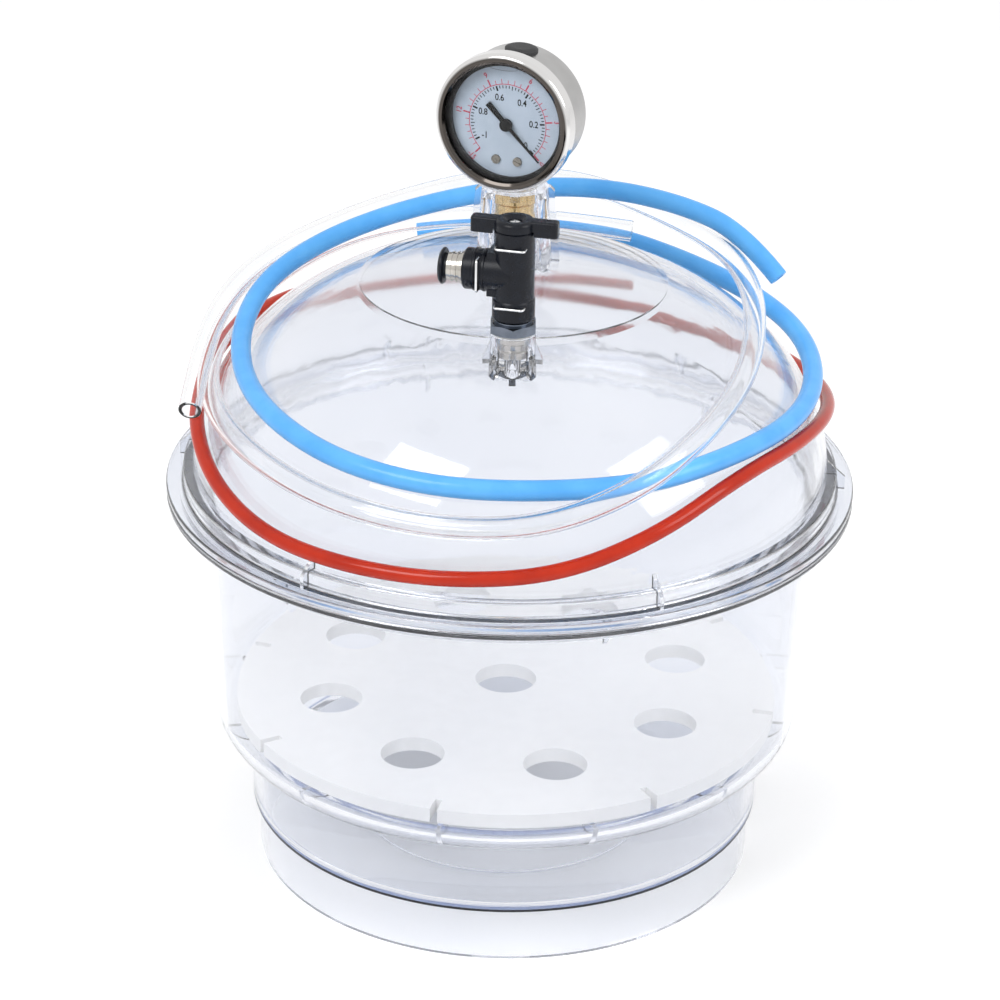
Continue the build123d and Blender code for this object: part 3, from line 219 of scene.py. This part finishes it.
def hose(name, node, route, radius, bore, material, through=False):
    """A loose hose with two cut ends, in place of its plain CAD node."""
    line = spline_points(route, name)
    tube = Tube(line)
    edge = min(CUT_EDGE, (radius - bore) / 3)
    if through:
        tube.cut_through(radius, bore, edge)
    else:
        tube.cut_in(radius, bore, edge, BORE_STEPS)
    mesh = tube.finish(name)
    obj = bpy.data.objects.new(name, mesh)
    scene.collection.objects.link(obj)
    mesh.materials.append(material)
    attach(obj, "lid")
    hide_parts(node)


# ------------------------------------------------------------------ material helpers
NOISE_ROUGHNESS = 0.55
BROADER = 8             # how many times broader a surface's drift of colour is than its grain
MIX_A, MIX_B, MIX_RESULT = 6, 7, 2      # the colour sockets of a Mix node


class Nodes:
    """A material's node tree, with short calls to add and join nodes."""

    def __init__(self, name):
        self.material = bpy.data.materials.new(name)
        self.material.use_nodes = True
        self.tree = self.material.node_tree
        self.shader = self.tree.nodes["Principled BSDF"]
        self.output = self.tree.nodes["Material Output"]
        self.place = self.tree.nodes.new("ShaderNodeTexCoord")

    def new(self, kind, **settings):
        node = self.tree.nodes.new(kind)
        for key, value in settings.items():
            setattr(node, key, value)
        return node

    def join(self, start, end):
        self.tree.links.new(start, end)

    def set(self, **values):
        """Sets the shader's own sockets, named with _ for each space."""
        for key, value in values.items():
            self.shader.inputs[key.replace("_", " ")].default_value = value

    def noise(self, scale, detail=3.0):
        """Noise over the object's own space, in cycles per metre."""
        node = self.new("ShaderNodeTexNoise")
        node.inputs["Scale"].default_value = scale
        node.inputs["Detail"].default_value = detail
        node.inputs["Roughness"].default_value = NOISE_ROUGHNESS
        self.join(self.place.outputs["Object"], node.inputs["Vector"])
        return node.outputs["Fac"]

    def ramp(self, value, low, high, start=0.35, end=0.65):
        """A colour that goes from low to high as the value goes from start to end."""
        node = self.new("ShaderNodeValToRGB")
        node.color_ramp.elements[0].position = start
        node.color_ramp.elements[1].position = end
        node.color_ramp.elements[0].color = (*low, 1)
        node.color_ramp.elements[1].color = (*high, 1)
        self.join(value, node.inputs["Fac"])
        return node.outputs["Color"]

    def between(self, value, low, high, start=0.3, end=0.7):
        """A number that goes from low to high as the value goes from start to end."""
        node = self.new("ShaderNodeMapRange")
        node.inputs["From Min"].default_value = start
        node.inputs["From Max"].default_value = end
        node.inputs["To Min"].default_value = low
        node.inputs["To Max"].default_value = high
        self.join(value, node.inputs["Value"])
        return node.outputs["Result"]

    def distance(self, place, kind, other):
        """How long the place is once it is multiplied by, or crossed with, the other vector."""
        change = self.new("ShaderNodeVectorMath", operation=kind)
        change.inputs[1].default_value = other
        self.join(place, change.inputs[0])
        length = self.new("ShaderNodeVectorMath", operation="LENGTH")
        self.join(change.outputs["Vector"], length.inputs[0])
        return length.outputs["Value"]

    def colour(self, value, low, high, start=0.35, end=0.65):
        self.join(self.ramp(value, low, high, start, end), self.shader.inputs["Base Color"])

    def rough(self, value, low, high):
        self.join(self.between(value, low, high), self.shader.inputs["Roughness"])

    def bump(self, value, height):
        """Bumps of that height, in metres."""
        node = self.new("ShaderNodeBump")
        node.inputs["Strength"].default_value = 1.0
        node.inputs["Distance"].default_value = height
        self.join(value, node.inputs["Height"])
        self.join(node.outputs["Normal"], self.shader.inputs["Normal"])


def plain_surface(name, low, high, rough_low, rough_high, grain=900.0, height=0.00001, **values):
    """A surface whose colour, roughness and bump vary slightly, at the grain's scale."""
    made = Nodes(name)
    made.set(**values)
    broad = made.noise(grain / BROADER, detail=4.0)
    fine = made.noise(grain)
    made.colour(broad, low, high)
    made.rough(fine, rough_low, rough_high)
    made.bump(fine, height)
    return made.material


def metal(name, low, high, rough_low, rough_high, grain=1600.0, height=0.000003):
    """Bare metal, a plain surface with a finer and lower grain."""
    return plain_surface(name, low, high, rough_low, rough_high, grain, height, Metallic=1.0)


def hose_plastic(name, low, high, rough_low, rough_high):
    """Coloured polyurethane: glossy, with a slight waviness along the hose."""
    made = Nodes(name)
    made.set(IOR=1.38)
    broad = made.noise(scale=70.0)
    fine = made.noise(scale=900.0)
    made.colour(broad, low, high)
    made.rough(fine, rough_low, rough_high)
    made.bump(broad, height=0.00008)
    return made.material


LAMP_SHARE = 0.94       # of a lamp's light, that passes one wall of clear plastic


def pass_lamps(made):
    """Lets a lamp's light straight through the clear piece, to what is behind it."""
    path = made.new("ShaderNodeLightPath")
    open_side = made.new("ShaderNodeBsdfTransparent")
    open_side.inputs["Color"].default_value = (LAMP_SHARE, LAMP_SHARE, LAMP_SHARE, 1)
    mix = made.new("ShaderNodeMixShader")
    made.join(path.outputs["Is Shadow Ray"], mix.inputs[0])
    made.join(made.shader.outputs["BSDF"], mix.inputs[1])
    made.join(open_side.outputs["BSDF"], mix.inputs[2])
    made.join(mix.outputs["Shader"], made.output.inputs["Surface"])


def clear_plastic(name, ior, low, high, rough_low, rough_high, wave=18.0, height=None, with_painted_band=False):
    """Clear moulded plastic, whose colour and gloss drift a little, with a painted band of blue shade or
    without.
    """
    made = Nodes(name)
    made.set(IOR=ior, Transmission_Weight=1.0)
    flow = made.noise(wave, detail=0.0)
    made.rough(flow, rough_low, rough_high)
    if height is not None:
        made.bump(flow, height)
    shown = made.ramp(flow, low, high)
    if with_painted_band:
        shown = paint_blue_edge_shade(made, shown)
    made.join(shown, made.shader.inputs["Base Color"])
    pass_lamps(made)
    return made.material


BAND_LOW = 0.0234       # the step from foot to neck, which is thick and looks blue from its edge; that blue shade is painted on the wall between these heights
BAND_HIGH = 0.0258
BAND_R = 0.102          # the band is on the wall outside this, and not on the dished floor
BAND_FADE = 0.0004
# painted shade: the blue that the thick step shows from its edge, laid into the wall's colour
BAND_PAINTED_SHADE_BLUE = (0.12, 0.17, 0.38)


def paint_blue_edge_shade(made, plain):
    """Blends the plain colour of the wall into a painted blue shade between the band's two heights."""
    place = made.place.outputs["Object"]
    axes = made.new("ShaderNodeSeparateXYZ")
    made.join(place, axes.inputs["Vector"])
    rise = made.between(axes.outputs["Z"], 0.0, 1.0, BAND_LOW - BAND_FADE, BAND_LOW)
    fall = made.between(axes.outputs["Z"], 1.0, 0.0, BAND_HIGH, BAND_HIGH + BAND_FADE)
    radius = made.distance(place, "MULTIPLY", (1, 1, 0))
    share = made.between(radius, 0.0, 1.0, BAND_R - BAND_FADE, BAND_R)
    for side in (rise, fall):
        product = made.new("ShaderNodeMath", operation="MULTIPLY")
        made.join(share, product.inputs[0])
        made.join(side, product.inputs[1])
        share = product.outputs["Value"]
    mix = made.new("ShaderNodeMix", data_type="RGBA")
    made.join(share, mix.inputs["Factor"])
    made.join(plain, mix.inputs[MIX_A])
    mix.inputs[MIX_B].default_value = (*BAND_PAINTED_SHADE_BLUE, 1)
    return mix.outputs[MIX_RESULT]


# the pointer's joint gives the gauge's axis
SPIN = next(j for j in frame["record"]["behaviour"]["joints"] if j["name"] == "pointer_spin")
NORMAL = Vector(SPIN["axis"]).normalized()
ACROSS = Vector((0, 0, 1)).cross(NORMAL)
RING_LOW, RING_HIGH = (Vector(corner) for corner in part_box("gauge_bezel"))
RING_CENTRE = (RING_LOW + RING_HIGH) / 2
RING_RADIUS = (RING_HIGH.z - RING_LOW.z) / 2
RING_BEVEL = 0.0014
RING_FADE = 0.0004
# painted light: a dark reflection painted on the ring's flat front and a highlight painted on its bevel
RING_PAINTED_DARK_REFLECTION = (0.085, 0.075, 0.068)
RING_PAINTED_HIGHLIGHT = (0.72, 0.71, 0.70)


def ring_with_painted_reflection(name):
    """The gauge's polished ring, with a painted dark reflection on its flat front and a painted
    highlight on its bevel.
    """
    made = Nodes(name)
    made.set(Metallic=1.0)
    offset = made.new("ShaderNodeVectorMath", operation="SUBTRACT")
    offset.inputs[1].default_value = RING_CENTRE
    made.join(made.place.outputs["Object"], offset.inputs[0])
    radius = made.distance(offset.outputs["Vector"], "CROSS_PRODUCT", NORMAL)
    edge = RING_RADIUS - RING_BEVEL
    painted_highlight_share = made.between(radius, 0.0, 1.0, edge - RING_FADE, edge + RING_FADE)
    made.colour(painted_highlight_share, RING_PAINTED_DARK_REFLECTION, RING_PAINTED_HIGHLIGHT, start=0.0, end=1.0)
    fine = made.noise(scale=900.0)
    made.rough(fine, low=0.07, high=0.14)
    made.bump(fine, height=0.000002)
    return made.material


# ------------------------------------------------------------------ materials
# each with its two colours and its two roughnesses, then what it doesn't share with the others
SHELL_LOW = (0.850, 0.866, 0.905)
SHELL_HIGH = (0.872, 0.886, 0.920)
CLEAR_LOW = (0.993, 0.995, 1.0)
CLEAR_HIGH = (1.0, 1.0, 1.0)
BOWL = clear_plastic("clear_bowl", 1.49, SHELL_LOW, SHELL_HIGH, 0.016, 0.03, with_painted_band=True)
DOME = clear_plastic("clear_dome", 1.49, SHELL_LOW, SHELL_HIGH, 0.04, 0.06)
LENS_GLASS = clear_plastic("clear_lens", 1.2, CLEAR_LOW, CLEAR_HIGH, 0.0, 0.01)
HOSE_CLEAR = clear_plastic("clear_hose", 1.35, (0.975, 0.98, 0.985), CLEAR_HIGH, 0.02, 0.06,
                           wave=60.0, height=0.00003)
SILICONE = clear_plastic("clear_silicone", 1.41, (0.93, 0.94, 0.97), (0.97, 0.97, 0.98), 0.2, 0.35,
                         wave=60.0, height=0.00006)
HOSE_BLUE = hose_plastic("blue_hose", (0.10, 0.42, 0.92), (0.13, 0.48, 0.97), 0.16, 0.26)
HOSE_RED = hose_plastic("red_hose", (0.46, 0.018, 0.001), (0.55, 0.024, 0.002), 0.1, 0.16)
PLATE_WHITE = plain_surface("white_plate", (0.925, 0.92, 0.91), (0.95, 0.945, 0.935), 0.38, 0.5,
                            grain=1400.0)
PTFE = plain_surface("white_seal", (0.78, 0.78, 0.76), (0.86, 0.86, 0.84), 0.4, 0.55)
BRASS = metal("brass", (0.62, 0.42, 0.17), (0.74, 0.53, 0.25), 0.2, 0.34, height=0.000004)
STEEL = metal("steel", (0.66, 0.66, 0.66), (0.78, 0.78, 0.78), 0.14, 0.26)
# the dial screws' steel, darkened with a painted dark reflection
STEEL_PAINTED_DARK_REFLECTION = metal("steel_painted_dark_reflection", (0.13, 0.125, 0.11), (0.30, 0.28, 0.25), 0.25, 0.4)
NICKEL = metal("nickel", (0.44, 0.42, 0.38), (0.54, 0.51, 0.47), 0.14, 0.24)
# the stud's nickel, darkened with a painted dark reflection
NICKEL_PAINTED_DARK_REFLECTION = metal("nickel_painted_dark_reflection", (0.11, 0.13, 0.16), (0.17, 0.19, 0.23), 0.16, 0.26)
BEZEL = ring_with_painted_reflection("polished_bezel")
CASE = metal("brushed_case", (0.42, 0.415, 0.41), (0.47, 0.465, 0.46), 0.28, 0.34,
             grain=700.0, height=0.000001)
BLACK_PAINT = plain_surface("black_paint", (0.003, 0.003, 0.003), (0.006, 0.006, 0.006), 0.55, 0.7,
                            IOR=1.3)
# painted shade: the dark edge that the oil's surface shows round the bubble, drawn flat on the dial
BUBBLE_EDGE_PAINTED_SHADE = plain_surface("bubble_edge_painted_shade", (0.10, 0.12, 0.15), (0.14, 0.16, 0.20), 0.3, 0.4)
RED_PRINT = plain_surface("red_print", (0.42, 0.025, 0.06), (0.50, 0.035, 0.08), 0.5, 0.6)
BLACK_RUBBER = plain_surface("black_rubber", (0.014, 0.014, 0.015), (0.028, 0.028, 0.03), 0.5, 0.65,
                             grain=1800.0, height=0.00002)
BLACK_PLASTIC = plain_surface("black_plastic", (0.003, 0.004, 0.008), (0.006, 0.008, 0.014), 0.24, 0.34,
                              grain=2600.0, IOR=1.34)
DIAL_FACE = plain_surface("dial_face", (0.37, 0.44, 0.53), (0.41, 0.48, 0.57), 0.5, 0.6,
                          grain=1400.0, height=0.000004)

# each look with its slot and the nodes that have it
LOOKS = [
    (BOWL, "clear_shell", ["base_bowl"]),
    (DOME, "clear_shell", ["lid_dome"]),
    (PLATE_WHITE, "white_plate", ["perforated_plate"]),
    (SILICONE, "clear_silicone", ["seal_ring"]),
    (BRASS, "brass", ["gauge_insert", "gauge_socket", "pressure_tube"]),
    (BRASS, "brass", ["gauge_movement", "tip_link", "sector_gear"]),
    (NICKEL, "nickel", ["valve_insert", "valve_spindle", "port_sleeve"]),
    (NICKEL_PAINTED_DARK_REFLECTION, "nickel", ["valve_stud"]),
    (PTFE, "white_seal", ["stem_washer", "stud_washer"]),
    (STEEL, "steel", ["pointer_arbor", "housing_clips", "handle_screw", "grip_ring"]),
    (STEEL_PAINTED_DARK_REFLECTION, "steel", ["dial_screws"]),
    (BLACK_PAINT, "black_paint", ["gauge_pointer"]),
    (DIAL_FACE, "dial_face", ["gauge_dial"]),
    (CASE, "brushed_case", ["gauge_case"]),
    (BEZEL, "polished_bezel", ["gauge_bezel"]),
    (LENS_GLASS, "clear_lens", ["gauge_lens"]),
    (BLACK_RUBBER, "black_rubber", ["gauge_gasket", "filler_plug", "spindle_rings", "port_seal"]),
    (BLACK_PLASTIC, "black_plastic", ["valve_housing", "valve_handle", "release_ring"]),
]


def dress_nodes():
    """Gives the CAD nodes their materials."""
    for material, slot, names in LOOKS:
        for name in names:
            obj = NODES[name]
            obj.data.materials.clear()
            obj.data.materials.append(material)


dress_nodes()

# ------------------------------------------------------------------ the dial's print
ZERO_TURN = -45.0        # degrees, where both scales start, against the clock from the right
RED_SWEEP = 270.0        # degrees over the 15 units of the outer scale
RED_WORDS = ("0", "3", "6", "9", "12", "-15")
RED_TICKS = 30
RED_ARC_R = 0.0159
RED_ARC_LINE = 0.0003
RED_ENDS = (0.0187, 0.0179, 0.0175)      # radii where its long, middle and short ticks end
RED_LINES = (0.0006, 0.00028)            # widths of its bold and its fine ticks
RED_WORDS_R = 0.0206
RED_WORDS_H = 0.0023
BLACK_SWEEP = 256.0      # degrees over the 1 unit of the inner scale
BLACK_WORDS = ("0", "0.2", "0.4", "0.6", "0.8", "-1")
BLACK_TICKS = 50
BLACK_ARC_R = 0.0154
BLACK_ENDS = (0.0134, 0.0137, 0.0142)
BLACK_LINES = (0.0007, 0.00036)
BLACK_WORDS_R = 0.0109
BLACK_WORDS_H = 0.0027
WORDS_NARROW = 0.85      # a number's width against the font's own
WORDS_BOLD = 0.018       # how far a number's outline grows, against the font's size
PRINT_LIFT = 0.00003
BUBBLE_X = -0.0021
BUBBLE_Y = 0.0222
BUBBLE_R = 0.0058
BUBBLE_FLAT = 0.17
BUBBLE_LINE = 0.00022
ARC_STEPS = 120


class Print:
    """Flat marks in one colour, laid on the dial round the pointer's axis."""

    def __init__(self, name, material, slot):
        self.name, self.material, self.slot = name, material, slot
        self.bm = bmesh.new()
        face = max(v.co.dot(NORMAL) for v in NODES["gauge_dial"].data.vertices)
        self.centre = Vector(SPIN["pos_m"]) + NORMAL * (face + PRINT_LIFT)

    def place(self, x, y):
        return self.centre + ACROSS * x + Vector((0, 0, y))

    def polygon(self, points):
        self.bm.faces.new([self.bm.verts.new(self.place(x, y)) for x, y in points])

    def tick(self, degrees, near, far, width):
        """A line along the radius, from near to far."""
        turn = math.radians(degrees)
        out = (math.cos(turn), math.sin(turn))
        side = (-out[1] * width / 2, out[0] * width / 2)
        corners = [(near, -1), (far, -1), (far, 1), (near, 1)]
        self.polygon([(r * out[0] + k * side[0], r * out[1] + k * side[1]) for r, k in corners])

    def ticks(self, count, sweep, start_r, ends, lines, bold_each, middle_each):
        """Ticks from the start's radius to the long, the middle or the short end."""
        long_end, middle_end, short_end = ends
        bold_line, fine_line = lines
        for n in range(count + 1):
            bold = n % bold_each == 0
            end_r = long_end if bold else middle_end if n % middle_each == 0 else short_end
            near, far = sorted((start_r, end_r))
            self.tick(ZERO_TURN + sweep * n / count, near, far, bold_line if bold else fine_line)

    def arc(self, radius, start, sweep, width, x=0.0, y=0.0, flat=1.0):
        """A line round (x, y), pressed flat from top to bottom by the share given."""
        for n in range(ARC_STEPS):
            a, b = (math.radians(start + sweep * k / ARC_STEPS) for k in (n, n + 1))
            corners = [(-1, a), (1, a), (1, b), (-1, b)]
            self.polygon([(x + (radius + side * width / 2) * math.cos(t),
                           y + (radius * flat + side * width / 2) * math.sin(t)) for side, t in corners])

    def numbers(self, words, sweep, radius, height, follow):
        """The scale's numbers, evenly over its sweep."""
        for n, word in enumerate(words):
            self.number(word, ZERO_TURN + sweep * n / (len(words) - 1), radius, height, follow)

    def number(self, word, degrees, radius, height, follow):
        """A plain number, upright, or turned with the scale where it is to follow it."""
        data = bpy.data.curves.new(self.name, "FONT")
        data.body = word
        data.offset = WORDS_BOLD
        data.align_x = "CENTER"
        data.align_y = "CENTER"
        holder = bpy.data.objects.new(self.name, data)
        scene.collection.objects.link(holder)
        bpy.context.view_layer.update()
        mesh = bpy.data.meshes.new_from_object(holder)
        low, high = (pick(v.co.y for v in mesh.vertices) for pick in (min, max))
        size = height / (high - low)
        middle = (low + high) / 2
        turn = math.radians(degrees)
        lean = turn - math.pi / 2 if follow else 0.0
        if follow and math.sin(turn) < 0:
            lean += math.pi
        verts = []
        for v in mesh.vertices:
            x = v.co.x * size * WORDS_NARROW
            y = (v.co.y - middle) * size
            place_x = radius * math.cos(turn) + x * math.cos(lean) - y * math.sin(lean)
            place_y = radius * math.sin(turn) + x * math.sin(lean) + y * math.cos(lean)
            verts.append(self.bm.verts.new(self.place(place_x, place_y)))
        for polygon in mesh.polygons:
            self.bm.faces.new([verts[k] for k in polygon.vertices])
        bpy.data.meshes.remove(mesh)
        bpy.data.objects.remove(holder)
        bpy.data.curves.remove(data)

    def finish(self):
        mesh = bpy.data.meshes.new(self.name)
        self.bm.to_mesh(mesh)
        self.bm.free()
        obj = bpy.data.objects.new(self.name, mesh)
        scene.collection.objects.link(obj)
        mesh.materials.append(self.material)
        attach(obj, "lid")


def print_outer_scale():
    marks = Print("dial_red_scale", RED_PRINT, "dial_face")
    marks.arc(RED_ARC_R, ZERO_TURN, RED_SWEEP, RED_ARC_LINE)
    marks.ticks(RED_TICKS, RED_SWEEP, RED_ARC_R, RED_ENDS, RED_LINES, bold_each=6, middle_each=2)
    marks.numbers(RED_WORDS, RED_SWEEP, RED_WORDS_R, RED_WORDS_H, follow=True)
    marks.finish()


def print_inner_scale():
    marks = Print("dial_black_scale", BLACK_PAINT, "black_paint")
    marks.ticks(BLACK_TICKS, BLACK_SWEEP, BLACK_ARC_R, BLACK_ENDS, BLACK_LINES,
                bold_each=10, middle_each=5)
    marks.numbers(BLACK_WORDS, BLACK_SWEEP, BLACK_WORDS_R, BLACK_WORDS_H, follow=False)
    marks.finish()


def paint_bubble_edge_shade():
    """The thin dark line where the gauge's oil ends under its small bubble: the edge is real, its
    darkness is painted shade laid on the dial.
    """
    line = Print("bubble_edge_painted_shade", BUBBLE_EDGE_PAINTED_SHADE, "clear_lens")
    line.arc(BUBBLE_R, 0.0, 360.0, BUBBLE_LINE, BUBBLE_X, BUBBLE_Y, BUBBLE_FLAT)
    line.finish()


print_outer_scale()
print_inner_scale()
paint_bubble_edge_shade()
hose("blue_hose_tube", "blue_hose", BLUE_ROUTE, BLUE_R, BLUE_BORE, HOSE_BLUE)
hose("clear_hose_tube", "clear_hose", CLEAR_ROUTE, CLEAR_R, CLEAR_BORE, HOSE_CLEAR, through=True)
hose("red_hose_tube", "red_hose", RED_ROUTE, RED_R, RED_BORE, HOSE_RED)

# ------------------------------------------------------------------ floor, world and lights
FLOOR_SIZE = 6.0
FLOOR_DROP = 0.0002     # under the foot, so that the two don't share a plane
FLOOR_LIFT = 0.28       # glow that brings the floor to white where it is seen
FLOOR_LOW = (0.86, 0.86, 0.87)
FLOOR_HIGH = (0.90, 0.90, 0.90)
WORLD_LIGHT = 0.72      # as a light, while it is 1 where it is seen
LAMP_AIM = (0, 0, 0.15)
KEY_PLACE = (-0.9, -1.0, 1.5)
KEY_SIZE = (0.8, 0.8)
KEY_POWER = 12
FILL_PLACE = (1.2, -0.6, 1.1)
FILL_SIZE = (0.7, 0.9)
FILL_POWER = 7


def seen_directly(tree):
    """1 for what the camera sees, straight, mirrored or through something clear, and 0 for light."""
    path = tree.nodes.new("ShaderNodeLightPath")
    value = path.outputs["Is Camera Ray"]
    for ray in ("Is Glossy Ray", "Is Transmission Ray"):
        either = tree.nodes.new("ShaderNodeMath")
        either.operation = "MAXIMUM"
        tree.links.new(value, either.inputs[0])
        tree.links.new(path.outputs[ray], either.inputs[1])
        value = either.outputs[0]
    return value


def make_floor():
    """A matt white floor, lifted to white where it is seen, which keeps the object's shadow."""
    made = Nodes("floor")
    made.set(IOR=1.3, Emission_Color=(1, 1, 1, 1))
    broad = made.noise(scale=3.0, detail=2.0)
    made.colour(broad, FLOOR_LOW, FLOOR_HIGH)
    made.rough(broad, low=0.7, high=0.8)
    lift = made.between(seen_directly(made.tree), 0.0, FLOOR_LIFT, 0.0, 1.0)
    made.join(lift, made.shader.inputs["Emission Strength"])
    bm = bmesh.new()
    bmesh.ops.create_grid(bm, x_segments=8, y_segments=8, size=FLOOR_SIZE)
    mesh = bpy.data.meshes.new("floor")
    bm.to_mesh(mesh)
    bm.free()
    floor = bpy.data.objects.new("floor", mesh)
    floor.location = (0, 0, -FLOOR_DROP)
    scene.collection.objects.link(floor)
    mesh.materials.append(made.material)


def make_world():
    """White where it is seen, and dimmer as a light."""
    world = bpy.data.worlds.new("world")
    scene.world = world
    world.use_nodes = True
    tree = world.node_tree
    background = tree.nodes["Background"]
    strength = tree.nodes.new("ShaderNodeMapRange")
    strength.inputs["To Min"].default_value = WORLD_LIGHT
    strength.inputs["To Max"].default_value = 1.0
    tree.links.new(seen_directly(tree), strength.inputs["Value"])
    tree.links.new(strength.outputs["Result"], background.inputs["Strength"])
    background.inputs["Color"].default_value = (1, 1, 1, 1)


def make_lamp(name, place, size, power):
    """An area lamp that points at the object."""
    data = bpy.data.lights.new(name, "AREA")
    data.shape = "RECTANGLE"
    data.size, data.size_y = size
    data.energy = power
    lamp = bpy.data.objects.new(name, data)
    scene.collection.objects.link(lamp)
    lamp.location = place
    lamp.rotation_euler = (Vector(LAMP_AIM) - Vector(place)).to_track_quat("-Z", "Y").to_euler()


make_floor()
make_world()
make_lamp("key", KEY_PLACE, KEY_SIZE, KEY_POWER)
make_lamp("fill", FILL_PLACE, FILL_SIZE, FILL_POWER)

scene.view_settings.view_transform = "Standard"
# light crosses many clear walls here, and stops black where it may bounce too few times
scene.cycles.max_bounces = 64
scene.cycles.transmission_bounces = 64
scene.cycles.glossy_bounces = 24
